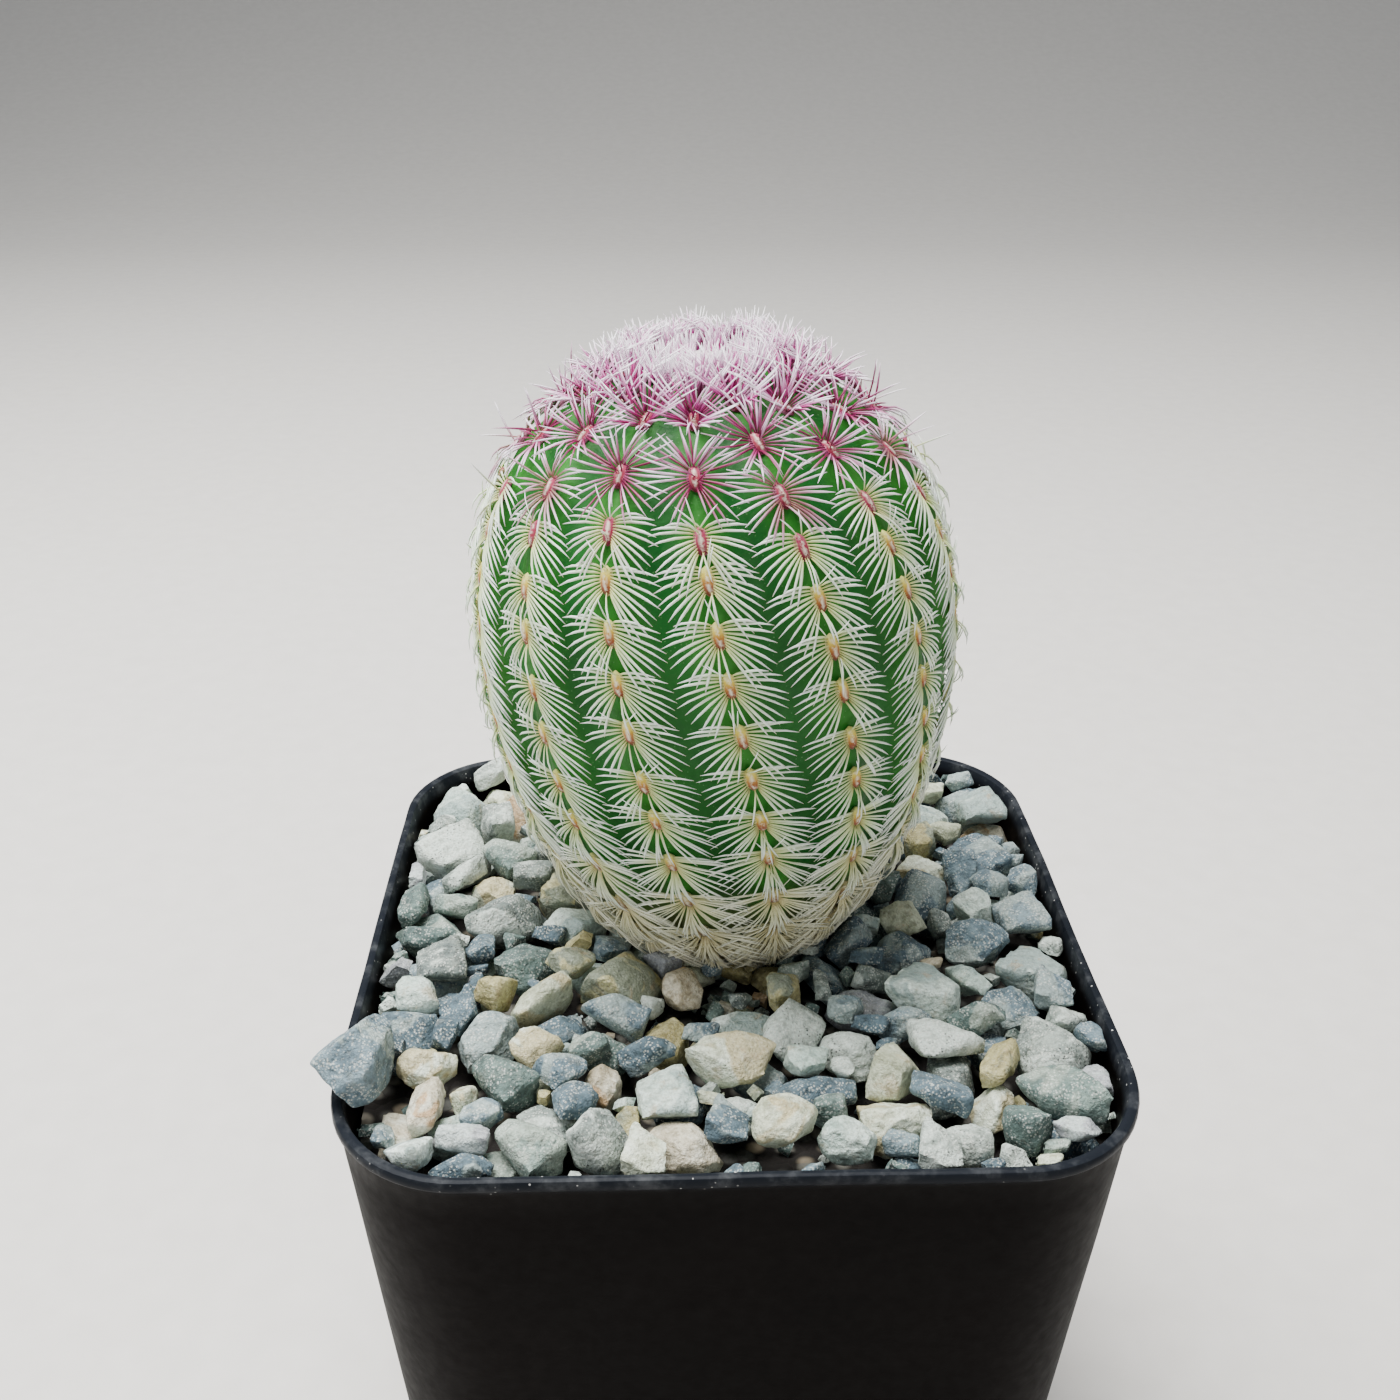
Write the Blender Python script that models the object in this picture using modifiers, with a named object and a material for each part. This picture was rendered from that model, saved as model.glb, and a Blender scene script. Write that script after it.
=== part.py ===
"""A young rainbow cactus in a square nursery pot, with soil and a gravel top dressing.

The origin is the middle of the pot's underside, +Z is up and the front of the pot faces -Y.
Lengths are in metres.
"""

import math
import random

import bmesh
import bpy
import numpy as np
from mathutils import Euler, Matrix, Vector
from mathutils.bvhtree import BVHTree

MM = 0.001
GAP = 0.3 * MM  # kept between pieces that touch

# Pot
POT_WIDTH = 63.5 * MM  # across the rim, outside
POT_HEIGHT = 64 * MM
POT_WALL = 0.8 * MM
CORNER_RADIUS = 11 * MM  # of the rim's corners
CORNER_STEPS = 6
WALL_SLOPE = 0.074  # how far a wall leans in, as a share of its height
LIP_HEIGHT = 1.2 * MM
LIP_STEP = 0.36 * MM  # how far the lip stands out from the wall
FOOT_WIDTH = 7 * MM  # from the pot's outer edge to the drainage channel under it
CHANNEL_WIDTH = 8 * MM
CHANNEL_RISE = 1.4 * MM
CHANNEL_SLOPE = 0.6 * MM  # across each side of the channel
DRAIN_RADIUS = 2.2 * MM

# Fill, measured down from the rim
GRAVEL_DEPTH = 4.6 * MM
SOIL_DEPTH = 12 * MM
BED_RINGS = 9
BED_BUMP = 0.9 * MM
PLANTING_DEPTH = 3 * MM  # where the stem meets the ground

# Stem, its heights measured up from the ground line
RIBS = 15
BODY_RADIUS = 20.2 * MM  # over the rib crests, at the widest
WIDEST_HEIGHT = 30 * MM
CROWN_HEIGHT = 52.4 * MM
BASE_DEPTH = 2.4 * MM  # where the lower half would close, below the ground line
SHOULDER_POWER = 2.4  # of the upper half: 2 is an ellipse, and more is a squarer shoulder
FOOT_POWER = 1.9  # the same, of the lower half
GROOVE_DEPTH = 1.5 * MM
RIB_STEPS = 4
BODY_RINGS = 8  # in each half
RIB_TURN = math.radians(-86.5)  # of the front rib, at the widest height
RIB_TWIST = math.radians(-25)  # of a rib from the ground to the crown
NECK_RADIUS = 4.6 * MM
ROOT_DEPTH = 18 * MM
HOLLOW_RADIUS = 8.5 * MM  # of the gravel round the neck
PLANT_AT = Vector((0.7 * MM, 7 * MM, POT_HEIGHT - PLANTING_DEPTH))
PLANT_LEAN = Euler((math.radians(1.8), math.radians(-3.1), 0))

# Spines
AREOLES = 13  # along a rib
SPINES_A_SIDE = 2  # of each areole
SPINE_FAN = 0.72  # of an areole's length of rib, from its lowest spine tip to its highest
SPINE_REACH = 0.42  # of a rib's pitch
SPINE_LIFT = 0.9 * MM  # of a spine's tip off the skin
CROWN_LIFT = 2.6 * MM  # the same, by the crown
YOUNG_SHARE = 0.74  # of the way up a rib's crest, above which its spines rise
FELT_WIDTH = 0.9 * MM
FELT_THICKNESS = 0.4 * MM
FIRST_AREOLE = 0.08  # as a share of the way up a rib's crest
TUFT_RADIUS = 7.6 * MM
TUFT_RINGS = 3
TUFT_MARGIN = 1.4 * MM  # between the tuft and the ends of the ribs' spines
TUFT_SPINE = 2 * MM

# Gravel: place across the opening as shares of its half width, then length, width and height in
# mm, turn in degrees and kind. The stones go in one after another, and each rests on what is there.
STONES = (
    (-0.62, -0.46, 7.0, 5.6, 5.4, 70, "slate"),
    (-0.48, -0.45, 4.9, 4.2, 3.9, 10, "slate"),
    (-0.33, -0.47, 4.6, 4.0, 3.9, 95, "green_grey"),
    (-0.22, -0.44, 6.6, 4.0, 3.8, 75, "ochre"),
    (-0.39, -0.11, 5.6, 4.0, 3.4, -20, "white"),
    (-0.57, -0.14, 6.0, 5.2, 4.4, 30, "green_grey"),
    (-0.79, -0.28, 5.8, 3.8, 3.4, 15, "slate"),
    (-0.48, -0.62, 5.0, 3.6, 3.4, 20, "cream"),
    (-0.36, -0.64, 4.4, 3.6, 4.0, 80, "peach"),
    (-0.48, -0.79, 7.2, 5.0, 4.4, -15, "speckled"),
    (-0.70, -0.82, 5.2, 4.2, 3.8, 35, "white"),
    (-0.62, -0.93, 5.0, 3.8, 3.0, 5, "green_grey"),
    (-0.12, -0.89, 6.8, 5.0, 4.6, -18, "peach"),
    (-0.14, -0.68, 5.8, 3.6, 3.2, 12, "slate"),
    (-0.02, -0.78, 5.2, 4.2, 3.6, -8, "speckled"),
    (-0.01, -0.42, 7.4, 4.4, 3.8, 18, "white"),
    (-0.13, -0.30, 4.8, 3.8, 4.2, 100, "peach"),
    (0.13, -0.24, 4.8, 4.0, 4.6, 60, "ochre"),
    (0.07, -0.58, 5.2, 4.0, 3.4, 15, "slate"),
    (0.36, -0.32, 7.6, 4.2, 3.8, -5, "lilac"),
    (0.32, -0.52, 5.8, 4.8, 4.2, -10, "speckled"),
    (0.45, -0.05, 7.2, 5.0, 4.4, 20, "slate"),
    (0.79, -0.36, 5.8, 5.0, 4.4, 55, "slate"),
    (0.66, -0.74, 5.0, 4.2, 3.8, 40, "cream"),
    (0.40, -0.82, 6.4, 5.4, 4.6, 0, "cream"),
    (0.26, -0.90, 4.8, 4.0, 3.8, -30, "white"),
    (0.12, -0.87, 5.6, 4.6, 4.2, 25, "cream"),
    (0.56, -0.88, 5.2, 4.4, 4.0, 10, "speckled"),
    (0.20, -0.70, 7.6, 3.8, 3.4, 12, "slate"),
    (-0.81, -0.61, 5.2, 4.4, 3.8, 0, "cream"),
    (-0.90, 0.28, 5.4, 4.2, 4.0, 80, "slate"),
    (-0.72, 0.27, 5.2, 4.4, 4.0, 0, "cream"),
    (0.84, 0.15, 5.8, 4.0, 3.8, 70, "white"),
    (0.74, -0.09, 7.0, 5.2, 4.4, 10, "slate"),
    (0.71, 0.64, 6.6, 5.4, 4.6, 30, "white"),
    (0.65, 0.34, 5.4, 4.8, 4.2, -40, "cream"),
    (-0.74, 0.84, 5.2, 4.6, 4.2, 15, "cream"),
    (-0.60, 0.54, 5.0, 4.2, 4.0, 65, "green_grey"),
    (0.05, 0.90, 6.0, 4.6, 4.2, -25, "slate"),
)
RIM_STONE = (-0.98, -0.69, 7.0, 5.8, 5.0, 62, "green_grey")  # the one that lies over the rim
STONE_CUTS = 7  # broken faces on each
GRID = 0.25 * MM  # of the heights that the stones are dropped on
PLANT_CLEARANCE = 1.6 * MM  # between the stem and the stones round it
SPREAD_STEPS, SETTLE_STEPS = 60, 6

COLOURS = {
    "pot": ((0.012, 0.010, 0.010), 0.45),
    "soil": ((0.045, 0.028, 0.018), 0.95),
    "gravel_bed": ((0.16, 0.16, 0.14), 0.9),
    "stem": ((0.03, 0.17, 0.04), 0.5),
    "spines": ((0.72, 0.73, 0.60), 0.5),
    "crown": ((0.72, 0.30, 0.48), 0.5),
    "slate": ((0.14, 0.20, 0.23), 0.85),
    "green_grey": ((0.20, 0.25, 0.22), 0.85),
    "white": ((0.62, 0.66, 0.60), 0.7),
    "cream": ((0.60, 0.56, 0.42), 0.75),
    "peach": ((0.62, 0.44, 0.32), 0.75),
    "ochre": ((0.55, 0.44, 0.20), 0.75),
    "lilac": ((0.42, 0.38, 0.38), 0.8),
    "speckled": ((0.36, 0.38, 0.33), 0.85),
}


def material(name):
    """The finish of that name, made once."""
    found = bpy.data.materials.get(name)
    if found:
        return found
    colour, roughness = COLOURS[name]
    made = bpy.data.materials.new(name)
    made.use_nodes = True
    shader = made.node_tree.nodes["Principled BSDF"]
    shader.inputs["Base Color"].default_value = (*colour, 1)
    shader.inputs["Roughness"].default_value = roughness
    shader.inputs["Metallic"].default_value = 0
    return made


def add_object(name, bm, finish, collection, smooth_angle=35):
    """Makes an object from a bmesh, which it frees."""
    bmesh.ops.recalc_face_normals(bm, faces=bm.faces)
    if bm.calc_volume(signed=True) < 0:
        bmesh.ops.reverse_faces(bm, faces=bm.faces)
    mesh = bpy.data.meshes.new(name)
    bm.to_mesh(mesh)
    bm.free()
    mesh.shade_smooth()
    mesh.set_sharp_from_angle(angle=math.radians(smooth_angle))
    mesh.materials.append(material(finish))
    made = bpy.data.objects.new(name, mesh)
    collection.objects.link(made)
    return made


def add_boolean(target, cutter):
    cut = target.modifiers.new(f"cut_{cutter.name}", "BOOLEAN")
    cut.operation = "DIFFERENCE"
    cut.object = cutter


# --- Rounded square sections, which the pot and its fill share ---


def section(bm, half, z):
    """A flat rounded square, its corners in proportion to the rim's."""
    radius = CORNER_RADIUS * half / (POT_WIDTH / 2)
    bmesh.ops.create_grid(bm, x_segments=1, y_segments=1, size=half)
    bmesh.ops.bevel(
        bm,
        geom=list(bm.verts),
        offset=radius,
        segments=CORNER_STEPS,
        profile=0.5,
        affect="VERTICES",
        material=-1,
    )
    bmesh.ops.translate(bm, verts=bm.verts, vec=(0, 0, z))
    return bm.faces[:][0]


def raise_section(bm, face, half, z):
    """Extrudes a section to a new half width and height, and returns the new end face."""
    was = max(v.co.x for v in face.verts)
    first = len(bm.faces) == 1
    made = bmesh.ops.extrude_face_region(bm, geom=[face])["geom"]
    end = next(g for g in made if isinstance(g, bmesh.types.BMFace))
    if not first:
        bmesh.ops.delete(bm, geom=[face], context="FACES_ONLY")
    grow = half / was
    for v in end.verts:
        v.co = (v.co.x * grow, v.co.y * grow, z)
    return end


def outer_half(z):
    """The pot wall's outer half width at a height, below the lip."""
    return POT_WIDTH / 2 - LIP_STEP - (POT_HEIGHT - LIP_HEIGHT - z) * WALL_SLOPE


def inner_half(z):
    return outer_half(z) - POT_WALL * math.hypot(1, WALL_SLOPE)


def add_underside(bm, half, outset, z):
    """Shapes the lowest face with the drainage channel, its sides moved out by outset."""
    face = min(bm.faces, key=lambda f: f.calc_center_median().z)
    foot = half - (FOOT_WIDTH - outset)
    channel = foot - CHANNEL_SLOPE - (CHANNEL_WIDTH + outset)
    face = raise_section(bm, face, foot, z)
    face = raise_section(bm, face, foot - CHANNEL_SLOPE, z + CHANNEL_RISE)
    face = raise_section(bm, face, channel, z + CHANNEL_RISE)
    raise_section(bm, face, channel - CHANNEL_SLOPE, z)


def make_pot(collection, cutters):
    bm = bmesh.new()
    bottom = section(bm, outer_half(0), 0)
    lip_z = POT_HEIGHT - LIP_HEIGHT
    top = raise_section(bm, bottom, outer_half(lip_z), lip_z)
    top = raise_section(bm, top, POT_WIDTH / 2, lip_z + LIP_STEP)
    top = raise_section(bm, top, POT_WIDTH / 2, POT_HEIGHT)
    bmesh.ops.delete(bm, geom=[top], context="FACES_ONLY")
    add_underside(bm, outer_half(0), 0, 0)
    pot = add_object("pot", bm, "pot", collection)
    wall = pot.modifiers.new("wall", "SOLIDIFY")
    wall.thickness = POT_WALL
    wall.offset = -1
    wall.use_even_offset = True
    edges = pot.modifiers.new("rounded_edges", "BEVEL")
    edges.width = POT_WALL / 5
    edges.segments = 1
    edges.limit_method = "ANGLE"
    edges.angle_limit = math.radians(50)
    add_boolean(pot, make_drain_cutters(cutters))
    return pot


def make_drain_cutters(cutters):
    """Four short cylinders, one in the middle of each side of the drainage channel."""
    away = outer_half(0) - FOOT_WIDTH - CHANNEL_SLOPE - CHANNEL_WIDTH / 2
    bm = bmesh.new()
    for x, y in ((away, 0), (-away, 0), (0, away), (0, -away)):
        bmesh.ops.create_cone(
            bm,
            cap_ends=True,
            segments=16,
            radius1=DRAIN_RADIUS,
            radius2=DRAIN_RADIUS,
            depth=6 * POT_WALL,
            matrix=Matrix.Translation((x, y, CHANNEL_RISE)),
        )
    return hide(add_object("drain_cutters", bm, "pot", cutters))


def hide(helper):
    helper.hide_render = True
    helper.display_type = "WIRE"
    return helper


def make_soil(collection):
    low, high = POT_WALL + GAP, POT_HEIGHT - SOIL_DEPTH
    bm = bmesh.new()
    bottom = section(bm, inner_half(low) - GAP, low)
    raise_section(bm, bottom, inner_half(high) - GAP, high)
    add_underside(bm, inner_half(low) - GAP, 2 * (POT_WALL + GAP), low)
    return add_object("soil_mix", bm, "soil", collection)


def make_gravel_bed(collection):
    """The small loose gravel under the stones, as one slab with an uneven top."""
    low, high = POT_HEIGHT - SOIL_DEPTH + GAP, POT_HEIGHT - GRAVEL_DEPTH
    rng = random.Random(5)
    bm = bmesh.new()
    bottom = section(bm, inner_half(low) - GAP, low)
    top = raise_section(bm, bottom, inner_half(high) - GAP, high)
    for ring in range(BED_RINGS, 0, -1):
        top = raise_section(bm, top, (inner_half(high) - GAP) * ring / (BED_RINGS + 1), high)
    for v in bm.verts:
        if v.co.z > high - GAP:
            v.co.z += rng.uniform(-BED_BUMP, 0)
    bmesh.ops.triangulate(bm, faces=bm.faces)
    return add_object("gravel_bed", bm, "gravel_bed", collection)


# --- The stem's form, in the plant's own frame ---


def crest_radius(height):
    """The radius over the rib crests at a height above the ground line."""
    if height >= WIDEST_HEIGHT:
        share = min(1, (height - WIDEST_HEIGHT) / (CROWN_HEIGHT - WIDEST_HEIGHT))
        return BODY_RADIUS * (1 - share**SHOULDER_POWER) ** (1 / SHOULDER_POWER)
    share = min(1, (WIDEST_HEIGHT - height) / (WIDEST_HEIGHT + BASE_DEPTH))
    return BODY_RADIUS * (1 - share**FOOT_POWER) ** (1 / FOOT_POWER)


def crest_outline():
    """(radius, height) points up a crest from the ground line to the crown, evenly turned."""
    bottom = math.asin((WIDEST_HEIGHT / (WIDEST_HEIGHT + BASE_DEPTH)) ** (FOOT_POWER / 2))
    lower = [-bottom * (1 - i / BODY_RINGS) for i in range(BODY_RINGS)]
    upper = [math.pi / 2 * i / BODY_RINGS for i in range(BODY_RINGS + 1)]
    points = []
    for turn in lower + upper:
        reach = CROWN_HEIGHT - WIDEST_HEIGHT if turn > 0 else WIDEST_HEIGHT + BASE_DEPTH
        power = 2 / SHOULDER_POWER if turn > 0 else 2 / FOOT_POWER
        height = WIDEST_HEIGHT + math.copysign(reach * abs(math.sin(turn)) ** power, turn)
        points.append((BODY_RADIUS * abs(math.cos(turn)) ** power, height))
    points[-1] = (0, CROWN_HEIGHT)
    return points


def rib_angle(rib, height):
    """The direction of a rib's crest, which twists round the stem as it climbs."""
    climb = (height - WIDEST_HEIGHT) / CROWN_HEIGHT
    return RIB_TURN + rib * math.tau / RIBS + RIB_TWIST * climb


def groove(angle, height):
    """How far the skin lies below the crests, in that direction."""
    phase = (angle - rib_angle(0, height)) * RIBS
    fade = min(1, max(0, height / (0.2 * WIDEST_HEIGHT)))
    deep = GROOVE_DEPTH * crest_radius(height) / BODY_RADIUS
    return deep * fade * (1 - math.cos(phase)) / 2


def crest_walk():
    """Points up a crest with the share of its length at each, for placing things along it."""
    points = [Vector(p) for p in crest_outline()]
    lengths = [0]
    for a, b in zip(points, points[1:]):
        lengths.append(lengths[-1] + (b - a).length)
    return [(length / lengths[-1], p) for length, p in zip(lengths, points)]


def on_crest(walk, share):
    """(radius, height, outward direction) at a share of the way up a crest."""
    for (s0, a), (s1, b) in zip(walk, walk[1:]):
        if share <= s1:
            break
    place = a.lerp(b, (share - s0) / (s1 - s0))
    along = (b - a).normalized()
    return place.x, place.y, Vector((along.y, -along.x))


def tuft_share(walk):
    """The share of the way up a crest where it comes near the crown's tuft."""
    edge = TUFT_RADIUS + TUFT_MARGIN
    inner = next(i for i, (_, p) in enumerate(walk) if p.y > WIDEST_HEIGHT and p.x < edge)
    (s0, a), (s1, b) = walk[inner - 1 : inner + 1]
    return s0 + (s1 - s0) * (a.x - edge) / (a.x - b.x)


def off_skin(walk, rib, side, share, lift):
    """A point beside a rib's crest: side is in rib pitches, lift in metres off the crest."""
    radius, height, out = on_crest(walk, share)
    angle = rib_angle(rib, height) + side * math.tau / RIBS
    reach = radius - groove(angle, height) + out.x * lift
    return Vector((reach * math.cos(angle), reach * math.sin(angle), height + out.y * lift))


def spun(profile, steps):
    """A bmesh of (radius, height) points turned about the vertical."""
    bm = bmesh.new()
    verts = [bm.verts.new((r, 0, z)) for r, z in profile]
    for a, b in zip(verts, verts[1:]):
        bm.edges.new((a, b))
    bmesh.ops.spin(
        bm, geom=bm.verts[:] + bm.edges[:], cent=(0, 0, 0), axis=(0, 0, 1),
        angle=math.tau, steps=steps, use_merge=True,
    )
    bmesh.ops.remove_doubles(bm, verts=bm.verts, dist=0.01 * MM)
    return bm


def make_stem(collection, plant):
    """The ribbed body with its neck and root, turned in one piece."""
    neck = [(0, -ROOT_DEPTH), (0.25 * NECK_RADIUS, -0.8 * ROOT_DEPTH)]
    neck += [(0.6 * NECK_RADIUS, -0.45 * ROOT_DEPTH), (NECK_RADIUS, -1.5 * BASE_DEPTH)]
    bm = spun(neck + crest_outline(), RIBS * RIB_STEPS)
    for v in bm.verts:
        radius, height = math.hypot(v.co.x, v.co.y), v.co.z
        if radius > 0.1 * MM:
            angle = math.atan2(v.co.y, v.co.x) + rib_angle(0, height)
            radius -= groove(angle, height) if height > 0 else 0
            v.co = (radius * math.cos(angle), radius * math.sin(angle), height)
    stem = add_object("cactus_stem", bm, "stem", collection, 60)
    stem.parent = plant
    return stem


def make_root_cutter(cutters, plant):
    """The hollow that the soil and the gravel leave for the neck and root."""
    loose = 2 * GAP
    profile = [(0, -ROOT_DEPTH - loose), (0.25 * NECK_RADIUS + loose, -0.8 * ROOT_DEPTH - loose)]
    profile += [(0.6 * NECK_RADIUS + loose, -0.45 * ROOT_DEPTH - loose)]
    profile += [(NECK_RADIUS + loose, -1.5 * BASE_DEPTH - loose)]
    profile += [(HOLLOW_RADIUS, 0), (2 * HOLLOW_RADIUS, SOIL_DEPTH), (0, SOIL_DEPTH)]
    cutter = hide(add_object("root_hollow", spun(profile, 24), "soil", cutters))
    cutter.parent = plant
    return cutter


def make_rib_spines(rib, walk, collection, plant):
    """One rib's felted areoles and their spines, as a comb along its crest.

    A flat strip is cut into one length for each spine pair, its side faces are poked into
    spikes, and the whole is laid on the skin.
    """
    lengths = AREOLES * SPINES_A_SIDE
    bm = bmesh.new()
    bmesh.ops.create_cube(bm, size=1)
    long_edges = [e for e in bm.edges if abs(e.verts[0].co.y - e.verts[1].co.y) > 0.5]
    bmesh.ops.subdivide_edges(bm, edges=long_edges, cuts=lengths - 1, use_grid_fill=False)
    sides = [f for f in bm.faces if abs(f.normal.x) > 0.5]
    tips = {}
    for face in sides:
        count = math.floor((face.calc_center_median().y + 0.5) * lengths)
        made = bmesh.ops.poke(bm, faces=[face])["verts"][0]
        tips[made] = count
    stagger = 0.5 if rib % 2 else 0
    last = tuft_share(walk)
    step = (last - FIRST_AREOLE) / (AREOLES + 0.5)

    def share_at(position):
        """The share of the crest at a position counted in strip lengths."""
        return FIRST_AREOLE + step * (position / SPINES_A_SIDE + stagger)

    for v in bm.verts:
        if v in tips:
            areole, order = divmod(tips[v], SPINES_A_SIDE)
            fan = (order + 0.5) / SPINES_A_SIDE - 0.5
            share = share_at((areole + 0.45 + fan * SPINE_FAN * 2) * SPINES_A_SIDE)
            young = max(0, share - YOUNG_SHARE) / (last - YOUNG_SHARE)
            lift = SPINE_LIFT + (CROWN_LIFT - SPINE_LIFT) * min(1, young)
            side = math.copysign(SPINE_REACH * (1 - 0.2 * abs(fan)), v.co.x)
            v.co = off_skin(walk, rib, side, share, lift)
        else:
            position = (v.co.y + 0.5) * lengths
            joint = round(position) % SPINES_A_SIDE == 0
            share = share_at(position)
            pitch = math.tau / RIBS * on_crest(walk, share)[0]
            side = math.copysign(FELT_WIDTH / 2 * (0.6 if joint else 1) / pitch, v.co.x)
            base = GAP + (FELT_THICKNESS if v.co.z > 0 else 0)
            v.co = off_skin(walk, rib, side, share, base)
    made = add_object(f"rib_spines_{rib + 1:02d}", bm, "spines", collection, 20)
    made.parent = plant
    return made


def crown_surface(radius):
    """The crests' height at a radius, on the upper half."""
    share = (1 - (radius / BODY_RADIUS) ** SHOULDER_POWER) ** (1 / SHOULDER_POWER)
    return WIDEST_HEIGHT + (CROWN_HEIGHT - WIDEST_HEIGHT) * share


def make_crown_tuft(collection, plant):
    """The growing point's wool and young spines: a thin cap whose upper faces are spikes."""
    rings = [TUFT_RADIUS * i / TUFT_RINGS for i in range(TUFT_RINGS + 1)]
    lower = [(r, crown_surface(r) + GAP) for r in rings]
    upper = [(r, z + FELT_THICKNESS) for r, z in lower]
    bm = spun(lower + upper[::-1], RIBS)
    spiked = []
    for face in bm.faces:
        place = face.calc_center_median()
        if place.z > crown_surface(place.xy.length) + GAP + FELT_THICKNESS / 2:
            spiked.append(face)
    for v in bmesh.ops.poke(bm, faces=spiked)["verts"]:
        v.co += Vector((0.12 * v.co.x, 0.12 * v.co.y, TUFT_SPINE))
    made = add_object("crown_spines", bm, "crown", collection, 20)
    made.parent = plant
    return made


# --- Gravel stones ---


class Pile:
    """The height of what lies in the pot so far, on a fine square grid."""

    def __init__(self, half):
        self.half = half
        self.count = math.ceil(2 * half / GRID)
        self.tops = np.full((self.count, self.count), -1.0)

    def cells(self, low, high):
        """(row, column, x, y) of the grid's cells between two corners."""
        first = [max(0, math.floor((low[k] + self.half) / GRID)) for k in (0, 1)]
        last = [min(self.count - 1, math.ceil((high[k] + self.half) / GRID)) for k in (0, 1)]
        for i in range(first[0], last[0] + 1):
            for j in range(first[1], last[1] + 1):
                yield i, j, (i + 0.5) * GRID - self.half, (j + 0.5) * GRID - self.half

    def around(self, i, j):
        """The highest point within a cell of this one."""
        return self.tops[max(0, i - 1) : i + 2, max(0, j - 1) : j + 2].max()

    def add(self, tree, low, high):
        for i, j, x, y in self.cells(low, high):
            hit = tree.ray_cast(Vector((x, y, 1)), Vector((0, 0, -1)))[0]
            if hit:
                self.tops[i, j] = max(self.tops[i, j], hit.z)

    def resting_lift(self, tree, low, high):
        """How far a thing must rise, or sink if negative, to rest GAP above the pile."""
        lifts = []
        for i, j, x, y in self.cells(low, high):
            hit = tree.ray_cast(Vector((x, y, -1)), Vector((0, 0, 1)))[0]
            if hit:
                lifts.append(self.around(i, j) + GAP - hit.z)
        return max(lifts)


def bounds_of(bm):
    low = Vector([min(v.co[k] for v in bm.verts) for k in range(3)])
    high = Vector([max(v.co[k] for v in bm.verts) for k in range(3)])
    return low, high


def broken_stone(size, turn, rng):
    """A rounded lump with flat broken faces, turned about the vertical."""
    bm = bmesh.new()
    bmesh.ops.create_icosphere(bm, subdivisions=2, radius=1)
    for _ in range(STONE_CUTS):
        face_way = Vector([rng.gauss(0, 1) for _ in range(3)]).normalized()
        cut = bmesh.ops.bisect_plane(
            bm, geom=bm.verts[:] + bm.edges[:] + bm.faces[:], dist=1e-5,
            plane_co=face_way * rng.uniform(0.66, 0.86), plane_no=face_way, clear_outer=True,
        )
        loop = [g for g in cut["geom_cut"] if isinstance(g, bmesh.types.BMEdge)]
        if loop:
            bmesh.ops.edgeloop_fill(bm, edges=loop)
    bmesh.ops.remove_doubles(bm, verts=bm.verts, dist=0.22)
    low, high = bounds_of(bm)
    middle, span = (low + high) / 2, high - low
    for v in bm.verts:
        v.co = [(v.co[k] - middle[k]) / span[k] * size[k] * MM for k in range(3)]
    bmesh.ops.triangulate(bm, faces=bm.faces)
    bmesh.ops.rotate(
        bm, verts=bm.verts, cent=(0, 0, 0), matrix=Matrix.Rotation(math.radians(turn), 3, "Z")
    )
    return bm


def inside_wall(x, y, reach):
    """Moves a stone's place in from the pot's wall, along the sides and into round corners."""
    z = POT_HEIGHT - GRAVEL_DEPTH
    half = inner_half(z) - GAP - reach
    radius = max(0, CORNER_RADIUS - POT_WALL - GAP - reach)
    place = Vector((max(-half, min(half, x)), max(-half, min(half, y))))
    middle = Vector((math.copysign(half - radius, x), math.copysign(half - radius, y)))
    over = place - middle
    if over.x * middle.x > 0 and over.y * middle.y > 0 and over.length > radius:
        place = middle + over.normalized() * radius
    return place


def away_from_plant(place, reach):
    """Moves a stone's place out from under the stem."""
    keep = crest_radius(2 * PLANTING_DEPTH) + PLANT_CLEARANCE + reach
    away = place - PLANT_AT.xy
    return PLANT_AT.xy + away.normalized() * max(keep, away.length)


def spread(stones):
    """The stones' places, eased apart so that none is dropped on another's back."""
    half = inner_half(POT_HEIGHT - GRAVEL_DEPTH)
    places = [Vector((stone[0] * half, stone[1] * half)) for stone in stones]
    reaches = [(stone[2] + stone[3]) / 4 * MM for stone in stones]
    for _ in range(SPREAD_STEPS):
        for i, first in enumerate(places):
            for j in range(i + 1, len(places)):
                apart = first - places[j]
                short = reaches[i] + reaches[j] + GAP - apart.length
                if short > 0:
                    step = apart.normalized() * short / 2
                    first += step
                    places[j] -= step
            place = away_from_plant(first, reaches[i])
            places[i] = inside_wall(*place, stones[i][2] / 2 * MM)
    return places


def into_plant(bm):
    """How far a stone lies inside the room kept round the stem."""
    to_plant = (Matrix.Translation(PLANT_AT) @ PLANT_LEAN.to_matrix().to_4x4()).inverted()
    places = [to_plant @ v.co for v in bm.verts]
    return max(crest_radius(p.z) + PLANT_CLEARANCE - p.xy.length for p in places)


def add_stone(name, stone, place, pile, collection, rng):
    """Drops a stone on the pile, and moves it away from the stem as far as it must."""
    length, width, height, turn, kind = stone[2:]
    bm, was = broken_stone((length, width, height), turn, rng), Vector((0, 0))
    bmesh.ops.translate(bm, verts=bm.verts, vec=(0, 0, POT_HEIGHT))
    for _ in range(SETTLE_STEPS):
        bmesh.ops.translate(bm, verts=bm.verts, vec=(*(place - was), 0))
        lift = pile.resting_lift(BVHTree.FromBMesh(bm), *bounds_of(bm))
        bmesh.ops.translate(bm, verts=bm.verts, vec=(0, 0, lift))
        push, was = into_plant(bm), place
        if push <= 0:
            break
        place = place + (place - PLANT_AT.xy).normalized() * push
    pile.add(BVHTree.FromBMesh(bm), *bounds_of(bm))
    return add_object(name, bm, kind, collection, 25)


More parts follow.
